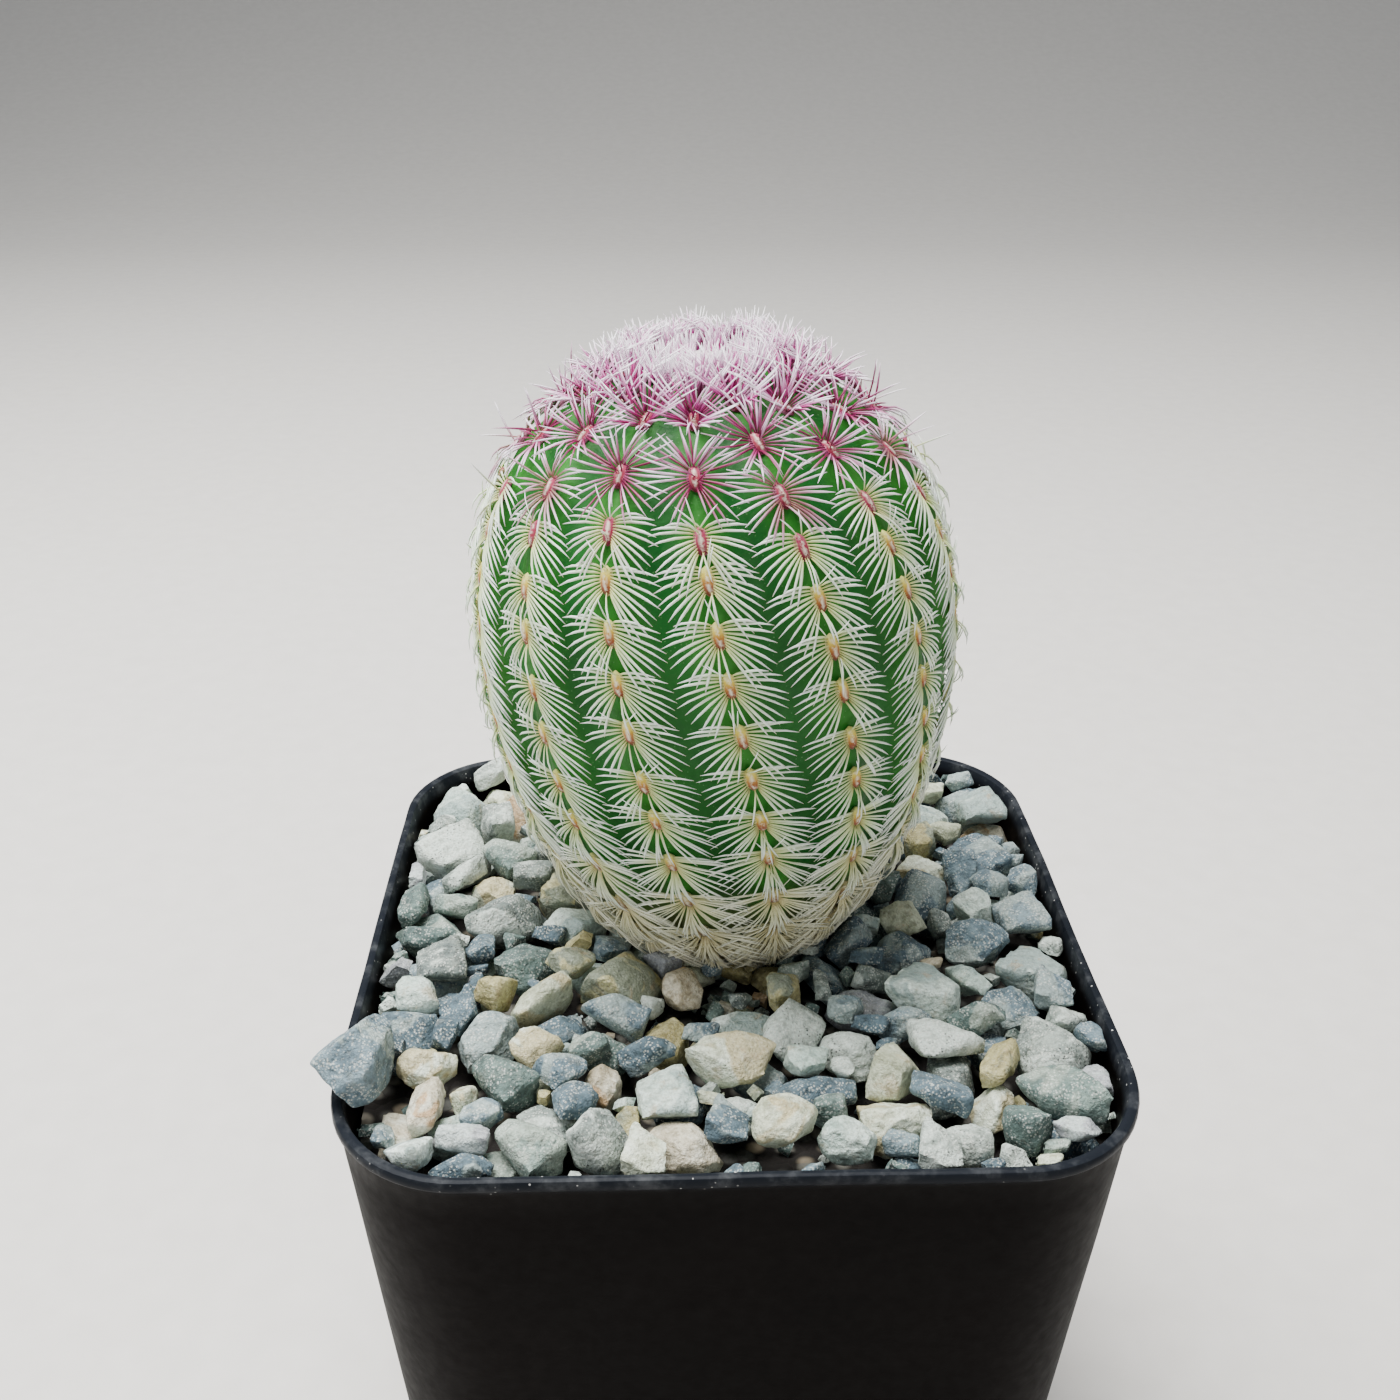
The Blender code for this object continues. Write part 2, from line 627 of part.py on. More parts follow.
def make_stones(collection, pot, bed):
    """Drops the stones in one by one on the gravel bed, and the last on the pot's rim."""
    bpy.context.view_layer.update()
    graph = bpy.context.evaluated_depsgraph_get()
    half = POT_WIDTH / 2 + 4 * MM
    pile = Pile(half)
    for base in (bed, pot):
        pile.add(BVHTree.FromObject(base, graph), (-half, -half), (half, half))
    rng = random.Random(21)
    over_rim = Vector(RIM_STONE[:2]) * inner_half(POT_HEIGHT - GRAVEL_DEPTH)
    for i, (stone, place) in enumerate(zip((*STONES, RIM_STONE), [*spread(STONES), over_rim])):
        add_stone(f"stone_{i + 1:02d}", stone, place, pile, collection, rng)


def new_collection(name):
    made = bpy.data.collections.new(name)
    bpy.context.scene.collection.children.link(made)
    return made


def main():
    for old in list(bpy.data.objects):
        bpy.data.objects.remove(old)
    parts, cutters = new_collection("potted_round_cactus"), new_collection("cutters")
    plant = bpy.data.objects.new("plant", None)
    plant.location, plant.rotation_euler = PLANT_AT, PLANT_LEAN
    parts.objects.link(plant)

    pot = make_pot(parts, cutters)
    soil, bed = make_soil(parts), make_gravel_bed(parts)
    root = make_root_cutter(cutters, plant)
    add_boolean(soil, root)
    add_boolean(bed, root)
    make_stem(parts, plant)
    walk = crest_walk()
    for rib in range(RIBS):
        make_rib_spines(rib, walk, parts, plant)
    make_crown_tuft(parts, plant)
    make_stones(parts, pot, bed)


main()
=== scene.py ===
"""Looks for a young rainbow cactus in a black nursery pot with a crushed stone top dressing."""

import math
import random

import bmesh
import bpy
import numpy as np
from mathutils import Euler, Matrix, Vector, noise
from mathutils.bvhtree import BVHTree


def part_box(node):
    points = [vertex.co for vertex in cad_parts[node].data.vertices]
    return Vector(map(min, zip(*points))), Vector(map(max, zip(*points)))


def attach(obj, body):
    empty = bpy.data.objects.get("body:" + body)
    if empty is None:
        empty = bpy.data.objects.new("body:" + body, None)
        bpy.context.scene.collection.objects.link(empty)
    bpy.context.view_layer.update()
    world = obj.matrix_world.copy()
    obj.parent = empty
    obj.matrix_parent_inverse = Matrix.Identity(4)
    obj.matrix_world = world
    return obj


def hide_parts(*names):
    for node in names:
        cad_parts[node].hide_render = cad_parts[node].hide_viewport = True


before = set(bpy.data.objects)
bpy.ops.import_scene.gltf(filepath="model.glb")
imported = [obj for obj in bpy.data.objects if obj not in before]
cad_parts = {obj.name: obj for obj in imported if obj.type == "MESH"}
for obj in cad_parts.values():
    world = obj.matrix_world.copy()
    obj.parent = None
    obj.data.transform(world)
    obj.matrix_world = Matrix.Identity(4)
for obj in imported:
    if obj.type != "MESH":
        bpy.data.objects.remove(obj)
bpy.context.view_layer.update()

MM = 0.001
UP = Vector((0, 0, 1))

# Pot
POT_WIDTH, POT_HEIGHT, POT_WALL = 63.5 * MM, 64 * MM, 0.8 * MM
CORNER_RADIUS, CORNER_STEPS, SIDE_CUTS = 11 * MM, 14, 22
WALL_SLOPE, LIP_HEIGHT, LIP_STEP, LIP_ROUND = 0.074, 1.2 * MM, 0.36 * MM, 0.3 * MM
FOOT_WIDTH, CHANNEL_WIDTH = 7 * MM, 8 * MM
CHANNEL_RISE, CHANNEL_SLOPE, DRAIN_RADIUS = 1.4 * MM, 0.6 * MM, 2.2 * MM
WARP_FROM = 30 * MM  # the height above which the wall isn't quite flat

# Stem
RIBS = 15
BODY_RADIUS, WIDEST_HEIGHT, CROWN_HEIGHT, BASE_DEPTH = 20.2 * MM, 30 * MM, 52.4 * MM, 2.4 * MM
SHOULDER_POWER, FOOT_POWER = 2.4, 1.9
GROOVE_DEPTH = 1.5 * MM
RIB_TURN, RIB_TWIST = math.radians(-86.5), math.radians(-25)
NECK_RADIUS, ROOT_DEPTH = 4.6 * MM, 18 * MM
PLANT_AT = Vector((0.7 * MM, 7 * MM, POT_HEIGHT - 3 * MM))
PLANT_LEAN = Euler((math.radians(1.8), math.radians(-3.1), 0))
PLANT = Matrix.Translation(PLANT_AT) @ PLANT_LEAN.to_matrix().to_4x4()

# Areoles: how far up the front rib's crest each lies, from the ground line
AREOLE_ARCS = [0.8, 4.4, 7.9, 11.3, 16.8, 21.9, 26.3, 30.3, 34.4, 38.5, 42.4, 46.2, 49.5]
YOUNG_ARCS = [54.3, 59.4, 63.4]
CREST_LENGTH = 68.5 * MM


def rng_for(word):
    return random.Random(word)


def new_object(name, data):
    made = bpy.data.objects.new(name, data)
    bpy.context.scene.collection.objects.link(made)
    return made


def mesh_of(bm, name):
    """Turns a bmesh into a mesh and frees it."""
    mesh = bpy.data.meshes.new(name)
    bm.to_mesh(mesh)
    bm.free()
    return mesh


# --- Camera, light and floor ---

CAMERA_AT = (-0.00627, -0.11334, 0.14413)
CAMERA_ROLL = math.radians(0.312)
FLOOR_HALF = 1.6  # half the floor's width, and the height of the backdrop


def make_camera():
    back = Vector((-0.03062, -0.89159, 0.45181)).normalized()
    right = Vector((0.99941, -0.03432, 0)).normalized()
    up = back.cross(right)
    across = math.cos(CAMERA_ROLL) * right + math.sin(CAMERA_ROLL) * up
    upward = -math.sin(CAMERA_ROLL) * right + math.cos(CAMERA_ROLL) * up
    data = bpy.data.cameras.new("camera")
    data.sensor_width, data.lens = 36, 38.81
    data.clip_start, data.clip_end = 0.005, 20
    camera = new_object("camera", data)
    turned = Matrix((across, upward, back)).transposed()
    camera.matrix_world = Matrix.Translation(CAMERA_AT) @ turned.to_4x4()
    bpy.context.scene.camera = camera


def add_light(name, place, aim, size, power, colour=(1, 1, 1)):
    data = bpy.data.lights.new(name, "AREA")
    data.shape, data.size, data.size_y = "RECTANGLE", size[0], size[1]
    data.energy, data.color = power, colour
    lamp = new_object(name, data)
    lamp.location = place
    lamp.rotation_euler = (Vector(aim) - Vector(place)).to_track_quat("-Z", "Y").to_euler()


def light_studio():
    world = bpy.data.worlds.new("soft_room")
    bpy.context.scene.world = world
    world.use_nodes = True
    sky = world.node_tree.nodes["Background"]
    sky.inputs["Color"].default_value = (0.86, 0.92, 1.0, 1)
    sky.inputs["Strength"].default_value = 0.28
    add_light("overhead", (-0.12, 0.1, 0.62), (0, 0, 0.07), (0.42, 0.42), 12.5, (1, 1, 0.985))
    add_light("left_window", (-0.55, -0.12, 0.36), (0, 0, 0.07), (0.35, 0.35), 1.8, (0.95, 0.98, 1))
    add_light("front_fill", (0.28, -0.6, 0.3), (0, 0, 0.08), (0.4, 0.4), 1.0, (1, 0.97, 0.93))


def make_floor():
    bm = bmesh.new()
    bmesh.ops.create_grid(bm, x_segments=1, y_segments=1, size=FLOOR_HALF)
    far = max(bm.edges, key=lambda e: (e.verts[0].co + e.verts[1].co).y)
    made = bmesh.ops.extrude_edge_only(bm, edges=[far])["geom"]
    top = [g for g in made if isinstance(g, bmesh.types.BMVert)]
    bmesh.ops.translate(bm, verts=top, vec=(0, 0, FLOOR_HALF))
    far = [e for e in bm.edges if not e.is_boundary]
    bmesh.ops.bevel(
        bm, geom=far, offset=0.9, segments=16, profile=0.5, affect="EDGES", material=-1
    )
    mesh = mesh_of(bm, "floor")
    mesh.shade_smooth()
    floor = new_object("floor", mesh)
    paper = Finish("pale_paper", roughness=0.9)
    grain = paper.noise(220, 3)
    paper.colour(paper.ramp(grain, (0.3, 0.66, 0.635, 0.6), (0.7, 0.70, 0.675, 0.64)))
    floor.data.materials.append(paper.material)


# --- Finishes ---


class Finish:
    """A material being built up from nodes that read the piece's own place and attributes."""

    def __init__(self, name, roughness=0.6, **sockets):
        self.material = bpy.data.materials.new(name)
        self.material.use_nodes = True
        self.tree = self.material.node_tree
        self.shader = self.tree.nodes["Principled BSDF"]
        self.shader.inputs["Roughness"].default_value = roughness
        for socket, value in sockets.items():
            self.shader.inputs[socket.replace("_", " ")].default_value = value
        self.place = self.tree.nodes.new("ShaderNodeTexCoord").outputs["Object"]

    def add(self, kind, inputs=(), **settings):
        """Adds a node with these settings. inputs holds a value for each socket's name or number."""
        node = self.tree.nodes.new(kind)
        for key, value in settings.items():
            setattr(node, key, value)
        for socket, value in dict(inputs).items():
            self.feed(node.inputs[socket], value)
        return node

    def feed(self, socket, value):
        if isinstance(value, bpy.types.NodeSocket):
            self.tree.links.new(value, socket)
        elif isinstance(value, tuple) and len(value) == 3 and socket.type == "RGBA":
            socket.default_value = (*value, 1)
        else:
            socket.default_value = value

    def noise(self, scale, detail=2, rough=0.5, warp=0, at=None, output="Fac"):
        inputs = {"Vector": at or self.place, "Scale": scale, "Detail": detail}
        inputs |= {"Roughness": rough, "Distortion": warp}
        return self.add("ShaderNodeTexNoise", inputs).outputs[output]

    def cells(self, scale, at=None, output="Distance"):
        inputs = {"Vector": at or self.place, "Scale": scale}
        return self.add("ShaderNodeTexVoronoi", inputs).outputs[output]

    def attribute(self, name):
        return self.add("ShaderNodeAttribute", attribute_name=name).outputs["Fac"]

    def height(self):
        return self.add("ShaderNodeSeparateXYZ", {0: self.place}).outputs["Z"]

    def math(self, operation, a, b):
        return self.add("ShaderNodeMath", {0: a, 1: b}, operation=operation).outputs[0]

    def plus(self, a, b):
        return self.math("ADD", a, b)

    def times(self, a, b):
        return self.math("MULTIPLY", a, b)

    def sway(self, value, share):
        """How far a value between 0 and 1 is from its middle, times a share."""
        return self.times(self.math("SUBTRACT", value, 0.5), share)

    def between(self, value, low, high, to_low=0.0, to_high=1.0):
        inputs = enumerate((value, low, high, to_low, to_high))
        return self.add("ShaderNodeMapRange", inputs, interpolation_type="SMOOTHSTEP").outputs[0]

    def mix(self, share, a, b, how="MIX"):
        inputs = {0: share, 6: a, 7: b}
        return self.add("ShaderNodeMix", inputs, data_type="RGBA", blend_type=how).outputs[2]

    def darken(self, share, body, shade):
        """Multiplies some of the body colour by a shade."""
        return self.mix(share, body, self.mix(1.0, body, shade, "MULTIPLY"))

    def ramp(self, value, *stops):
        """Colours along a value. A stop is its place and its red, green and blue."""
        node = self.add("ShaderNodeValToRGB", {0: value})
        bar = node.color_ramp
        while len(bar.elements) < len(stops):
            bar.elements.new(0.5)
        for element, (at, *colour) in zip(bar.elements, stops):
            element.position, element.color = at, (*colour, 1)
        return node.outputs["Color"]

    def colour(self, value):
        self.feed(self.shader.inputs["Base Color"], value)

    def rough(self, value):
        self.feed(self.shader.inputs["Roughness"], value)

    def bump(self, *layers):
        """Adds layers of (height, depth in metres, strength) one on another."""
        normal = None
        for height, depth, strength in layers:
            inputs = {"Height": height, "Distance": depth, "Strength": strength}
            if normal:
                inputs["Normal"] = normal
            normal = self.add("ShaderNodeBump", inputs).outputs[0]
        self.feed(self.shader.inputs["Normal"], normal)


def pot_plastic():
    """Black plastic, dusty and a little shinier from the lip's lower edge up, with painted reflections: a
    brown tint on the wall and a bluish tint on the lip.
    """
    f = Finish("black_pot_plastic", 0.45)
    f.shader.inputs["Specular IOR Level"].default_value = 0.035
    broad, fine = f.noise(60, 3), f.noise(900, 3)
    # Painted reflection: the brown tint in this near black plastic.
    base = f.ramp(broad, (0.3, 0.0012, 0.0007, 0.0006), (0.7, 0.0026, 0.0016, 0.0014))
    lip = f.between(f.height(), 0.0622, 0.0636)
    specks = f.between(f.cells(1500), 0.16, 0.07)
    sparse = f.between(f.noise(300, 2), 0.47, 0.6)
    dust = f.times(f.times(specks, sparse), lip)
    film = f.times(f.between(f.noise(420, 4, 0.65), 0.45, 0.75), f.times(lip, 0.16))
    # Painted reflection: the lip's bluish tint. The grey film over it is dust.
    coloured = f.mix(film, f.mix(lip, base, (0.010, 0.012, 0.016)), (0.26, 0.27, 0.28))
    f.colour(f.mix(dust, coloured, (0.62, 0.62, 0.60)))
    f.rough(f.plus(f.math("SUBTRACT", f.times(fine, 0.22), f.times(lip, 0.24)), 0.44))
    scuffs = f.noise(260, 4, 0.6, 0.6)
    f.bump((fine, 0.00003, 0.5), (scuffs, 0.00012, 0.35), (f.noise(70, 2), 0.0006, 0.25))
    return f.material


def potting_soil():
    f = Finish("dark_potting_soil", 0.95)
    crumbs, tone = f.cells(700), f.noise(500, 5, 0.7)
    dark = f.ramp(
        tone, (0.3, 0.018, 0.011, 0.007), (0.55, 0.05, 0.032, 0.02), (0.75, 0.12, 0.085, 0.055)
    )
    f.colour(f.mix(f.between(f.cells(420), 0.14, 0.05), dark, (0.5, 0.46, 0.38)))
    f.bump((crumbs, 0.0006, 0.9), (tone, 0.0004, 0.7))
    return f.material


def grit_bed():
    f = Finish("fine_grit_under_the_stones", 0.92)
    grey = f.add("ShaderNodeRGBToBW", {0: f.cells(560, output="Color")})
    tones = f.ramp(
        grey.outputs[0], (0.1, 0.035, 0.03, 0.025), (0.4, 0.10, 0.10, 0.09),
        (0.7, 0.2, 0.19, 0.16), (0.9, 0.3, 0.24, 0.16),
    )
    grains = f.cells(560)
    # Painted shade: near black in the low gaps between the grains.
    f.colour(f.mix(f.between(grains, 0.25, 0.55), tones, (0.012, 0.009, 0.007)))
    f.bump((grains, -0.0012, 0.9), (f.noise(1500, 4, 0.7), 0.0002, 0.6))
    return f.material


def stem_skin():
    """Green skin: darker in the furrows as painted shade, straw-coloured near the ground and finely dotted.
    """
    f = Finish("ribbed_green_skin", 0.5, Specular_IOR_Level=0.22)
    furrow, climb = f.attribute("furrow"), f.attribute("climb")
    broad, fine = f.noise(160, 3), f.noise(1300, 3, 0.6)
    crest = f.ramp(
        broad, (0.3, 0.015, 0.150, 0.014), (0.55, 0.027, 0.205, 0.020), (0.8, 0.052, 0.270, 0.036)
    )
    # Painted shade: a darker green down the furrows.
    furrow_shade_green = f.ramp(broad, (0.3, 0.006, 0.092, 0.012), (0.75, 0.012, 0.145, 0.018))
    skin = f.mix(f.between(furrow, 0.25, 0.95), crest, furrow_shade_green)
    skin = f.mix(f.between(climb, 0.30, 0.06), skin, (0.20, 0.22, 0.09))
    dots = f.times(f.between(f.cells(2600), 0.22, 0.1), f.between(f.noise(700, 2), 0.4, 0.62))
    f.colour(f.mix(f.times(dots, 0.32), skin, (0.20, 0.40, 0.17)))
    f.rough(f.between(fine, 0.3, 0.7, 0.4, 0.56))
    f.bump((f.cells(2100), 0.00005, 0.5), (fine, 0.00006, 0.5), (f.noise(420, 3), 0.00025, 0.45))
    return f.material


def spine_horn():
    """Spines that are straw by the ground, white with a tan tip up the sides and a green root there that is
    painted light from the skin, lilac where they are young, and rose with white ends in the crown."""
    f = Finish("spines", 0.38)
    along, young, old, tone = (f.attribute(n) for n in ("along", "young", "old", "tone"))
    streak = f.noise(2400, 2)
    # Painted light: the green near the root stands for the skin's green shining through the spine.
    white = f.ramp(
        along, (0.0, 0.62, 0.58, 0.20), (0.16, 0.62, 0.72, 0.34), (0.45, 0.76, 0.88, 0.66),
        (0.75, 0.91, 0.98, 0.90), (0.94, 0.95, 0.98, 0.96), (1.0, 0.80, 0.72, 0.52),
    )
    straw = f.ramp(
        along, (0.0, 0.60, 0.48, 0.22), (0.2, 0.82, 0.75, 0.46),
        (0.6, 0.95, 0.92, 0.70), (1.0, 0.97, 0.96, 0.84),
    )
    shifted = f.plus(along, f.sway(tone, 0.75))  # so that neighbours change colour at other heights
    lilac = f.ramp(
        shifted, (0.0, 0.17, 0.002, 0.045), (0.22, 0.30, 0.022, 0.12), (0.48, 0.52, 0.20, 0.36),
        (0.74, 0.80, 0.60, 0.74), (1.0, 0.93, 0.86, 0.94),
    )
    rose = f.ramp(
        shifted, (0.0, 0.36, 0.004, 0.14), (0.25, 0.62, 0.09, 0.40), (0.5, 0.88, 0.50, 0.78),
        (0.72, 0.98, 0.88, 0.98), (1.0, 1.0, 0.98, 1.0),
    )
    pink = f.mix(f.between(young, 0.78, 0.98), lilac, rose)
    body = f.mix(f.between(old, 0.15, 0.85), white, straw)
    body = f.mix(f.between(young, 0.03, 0.62), body, pink)
    shade = f.plus(f.sway(tone, 0.45), f.sway(streak, 0.25))
    f.colour(f.darken(f.between(shade, 0.0, -0.35, 0.0, 0.3), body, (0.55, 0.50, 0.36)))
    f.rough(f.between(streak, 0.3, 0.7, 0.3, 0.48))
    f.bump((streak, 0.00002, 0.4))
    return f.material


def areole_felt():
    """Felt pads with a pale fringe: amber, browner by the ground and crimson near the crown."""
    f = Finish("areole_felt", 0.9, Sheen_Weight=0.1)
    up, young, old, rim = (f.attribute(n) for n in ("along", "young", "old", "rim"))
    tuft = f.noise(2600, 4, 0.7)
    amber = f.ramp(
        up, (0.0, 0.12, 0.03, 0.012), (0.3, 0.26, 0.06, 0.015), (0.5, 0.44, 0.20, 0.025),
        (0.68, 0.68, 0.52, 0.06), (1.0, 0.74, 0.76, 0.24),
    )
    brown = f.ramp(up, (0.0, 0.09, 0.045, 0.02), (0.5, 0.24, 0.13, 0.05), (1.0, 0.60, 0.50, 0.28))
    crimson = f.ramp(up, (0.0, 0.12, 0.002, 0.016), (0.5, 0.26, 0.006, 0.036), (1.0, 0.42, 0.04, 0.12))
    body = f.mix(f.between(old, 0.2, 0.9), amber, brown)
    body = f.mix(f.between(young, 0.0, 0.4), body, crimson)
    fringe = f.mix(f.between(young, 0.0, 0.9), (0.72, 0.70, 0.36), (0.62, 0.22, 0.36))
    body = f.mix(f.between(f.plus(rim, f.sway(tuft, 0.9)), 0.35, 0.8), body, fringe)
    wisp = f.times(f.attribute("wisp"), f.between(tuft, 0.40, 0.55))
    f.colour(f.mix(f.times(wisp, 0.8), body, (0.90, 0.84, 0.66)))
    f.bump((tuft, 0.00012, 0.9))
    return f.material


def crown_wool():
    f = Finish("crown_wool", 0.95, Sheen_Weight=0.5)
    tuft = f.noise(1700, 5, 0.7, 0.4)
    f.colour(f.ramp(tuft, (0.3, 0.50, 0.24, 0.32), (0.48, 0.80, 0.70, 0.72), (0.65, 0.90, 0.88, 0.86)))
    f.bump((tuft, 0.0005, 1.0))
    return f.material


STONE_TONES = {
    # kind: the dark, middle and pale body colour and the patches' colour
    "slate": ((0.048, 0.080, 0.102), (0.108, 0.165, 0.20), (0.225, 0.305, 0.335), (0.32, 0.392, 0.376)),
    "green_grey": ((0.064, 0.104, 0.098), (0.135, 0.198, 0.178), (0.275, 0.355, 0.31), (0.349, 0.414, 0.353)),
    "white": ((0.388, 0.512, 0.456), (0.57, 0.67, 0.60), (0.795, 0.90, 0.85), (0.262, 0.349, 0.331)),
    "cream": ((0.407, 0.436, 0.296), (0.621, 0.665, 0.502), (0.795, 0.872, 0.752), (0.533, 0.458, 0.251)),
    "peach": ((0.427, 0.36, 0.239), (0.621, 0.578, 0.445), (0.795, 0.839, 0.741), (0.485, 0.305, 0.148)),
    "ochre": ((0.291, 0.251, 0.103), (0.504, 0.458, 0.228), (0.66, 0.643, 0.376), (0.213, 0.256, 0.205)),
    "lilac": ((0.213, 0.223, 0.239), (0.349, 0.365, 0.388), (0.504, 0.534, 0.547), (0.504, 0.578, 0.559)),
    "speckled": ((0.107, 0.136, 0.131), (0.242, 0.289, 0.262), (0.446, 0.501, 0.445), (0.601, 0.676, 0.616)),
}
STONE_GRAINS = {
    # kind: share in patches, strength of the pale specks and of the dark specks, and roughness
    "slate": (0.36, 0.85, 0.3, 0.82),
    "green_grey": (0.40, 0.8, 0.3, 0.82),
    "white": (0.38, 0.3, 0.45, 0.58),
    "cream": (0.30, 0.3, 0.4, 0.62),
    "peach": (0.34, 0.3, 0.3, 0.66),
    "ochre": (0.40, 0.25, 0.45, 0.66),
    "lilac": (0.34, 0.5, 0.35, 0.78),
    "speckled": (0.45, 1.0, 1.0, 0.8),
}
QUARTZ = ("white", "cream", "peach", "ochre")


def stone_finish(kind):
    """Mottled, stained and speckled stone. Each stone's tone shifts its pattern and its value."""
    dark, middle, pale, patch = STONE_TONES[kind]
    share, pale_specks, dark_specks, roughness = STONE_GRAINS[kind]
    quartz = kind in QUARTZ
    f = Finish(f"{kind}_stone", roughness)
    tone = f.attribute("tone")
    offset = f.add("ShaderNodeCombineXYZ", {k: f.times(tone, 0.37) for k in range(3)}).outputs[0]
    at = f.add("ShaderNodeVectorMath", {0: f.place, 1: offset}, operation="ADD").outputs[0]
    cloud = f.noise(300, 4, 0.6, 0.5, at)
    grain = f.noise(1300, 4, 0.65, 0, at)
    fine = f.noise(4200, 2, 0.6, 0, at)
    value = f.plus(f.plus(f.times(cloud, 0.6), f.times(grain, 0.4)), f.sway(tone, 0.26))
    body = f.ramp(value, (0.30, *dark), (0.5, *middle), (0.70, *pale))
    patches = f.plus(f.noise(150, 3, 0.6, 0.8, at), f.sway(tone, 0.2))
    edge = 0.64 - 0.34 * share
    body = f.mix(f.times(f.between(patches, edge, edge + 0.06), 0.85), body, patch)
    stain = f.between(f.noise(420, 4, 0.7, 0.3, at), 0.56, 0.68)
    rust = (0.40, 0.29, 0.16) if quartz else (0.34, 0.33, 0.27)
    body = f.mix(f.times(stain, 0.5 if quartz else 0.22), body, rust)
    shake = {0: f.noise(2600, at=at, output="Color"), 1: (0.00016,) * 3, 2: at}
    shaken = f.add("ShaderNodeVectorMath", shake, operation="MULTIPLY_ADD").outputs[0]
    for cells, near, far, clump, few, many, strength, colour in (
        (4300, 0.24, 0.48, f.noise(900, 3, at=at), 0.38, 0.56, 0.72 * pale_specks, (0.72, 0.74, 0.68)),
        (3300, 0.14, 0.40, f.noise(560, 2, at=at), 0.48, 0.62, 0.9 * dark_specks, (0.035, 0.038, 0.037)),
    ):
        specks = f.times(f.between(f.cells(cells, shaken), far, near), f.between(clump, few, many))
        body = f.mix(f.times(specks, strength), body, colour)
    body = f.darken(f.between(fine, 0.38, 0.62, 0.0, 0.4), body, (0.52, 0.50, 0.46))
    body = f.darken(f.between(grain, 0.5, 0.36, 0.0, 0.5), body, (0.5, 0.5, 0.48))
    f.colour(body)
    f.rough(f.between(grain, 0.3, 0.7, roughness - 0.12, min(1, roughness + 0.1)))
    f.bump((cloud, 0.0009, 0.6), (grain, 0.0004, 0.9), (fine, 0.00012, 0.9))
    if quartz:
        f.shader.inputs["Subsurface Weight"].default_value = 0.09
        f.shader.inputs["Subsurface Radius"].default_value = (1.0, 0.9, 0.7)
        f.shader.inputs["Subsurface Scale"].default_value = 0.0012
    return f.material


# --- Making pieces ---


def finished(name, bm, material, replaces=(), smooth=180):
    """Makes a piece from a bmesh, which it frees."""
    return piece_from_mesh(name, mesh_of(bm, name), [material], replaces, smooth)


def piece_from_mesh(name, mesh, materials, replaces=(), smooth=180):
    """Makes a piece, its edges sharp where they turn by more than smooth degrees."""
    mesh.shade_smooth()
    if smooth < 180:
        mesh.set_sharp_from_angle(angle=math.radians(smooth))
    if len(materials) == 1:
        mesh.materials.clear()
    for material in materials:
        mesh.materials.append(material)
    made = new_object(name, mesh)
    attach(made, "root")
    if replaces:
        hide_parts(*replaces)
    return made


def applied(mesh, kind, **settings):
    """A copy of a mesh with one modifier applied."""
    helper = new_object("helper", mesh)
    modifier = helper.modifiers.new(kind.lower(), kind)
    for key, value in settings.items():
        setattr(modifier, key, value)
    graph = bpy.context.evaluated_depsgraph_get()
    made = bpy.data.meshes.new_from_object(helper.evaluated_get(graph), depsgraph=graph)
    bpy.data.objects.remove(helper)
    return made


def add_values(mesh, name, values):
    layer = mesh.attributes.new(name, "FLOAT", "POINT")
    layer.data.foreach_set("value", np.asarray(values, dtype=np.float32))


def face_out(bm):
    bmesh.ops.recalc_face_normals(bm, faces=bm.faces)
    if bm.calc_volume(signed=True) < 0:
        bmesh.ops.reverse_faces(bm, faces=bm.faces)


# --- Pot ---


def outer_half(z):
    return POT_WIDTH / 2 - LIP_STEP - (POT_HEIGHT - LIP_HEIGHT - z) * WALL_SLOPE


def inner_half(z):
    return outer_half(z) - POT_WALL * math.hypot(1, WALL_SLOPE)


def first_section(bm, half, z):
    """A flat rounded square with its straight sides cut up, so that they can wave a little."""
    bmesh.ops.create_grid(bm, x_segments=1, y_segments=1, size=half)
    bmesh.ops.bevel(
        bm, geom=bm.verts[:], offset=CORNER_RADIUS * half / (POT_WIDTH / 2),
        segments=CORNER_STEPS, profile=0.5, affect="VERTICES", material=-1,
    )
    sides = [e for e in bm.edges if e.calc_length() > half]
    bmesh.ops.subdivide_edges(bm, edges=sides, cuts=SIDE_CUTS)
    bmesh.ops.translate(bm, verts=bm.verts, vec=(0, 0, z))
    return bm.faces[:][0]


def raise_section(bm, face, half, z):
    was = max(v.co.x for v in face.verts)
    first = len(bm.faces) == 1
    made = bmesh.ops.extrude_face_region(bm, geom=[face])["geom"]
    end = next(g for g in made if isinstance(g, bmesh.types.BMFace))
    if not first:
        bmesh.ops.delete(bm, geom=[face], context="FACES_ONLY")
    for v in end.verts:
        v.co = (v.co.x * half / was, v.co.y * half / was, z)
    return end


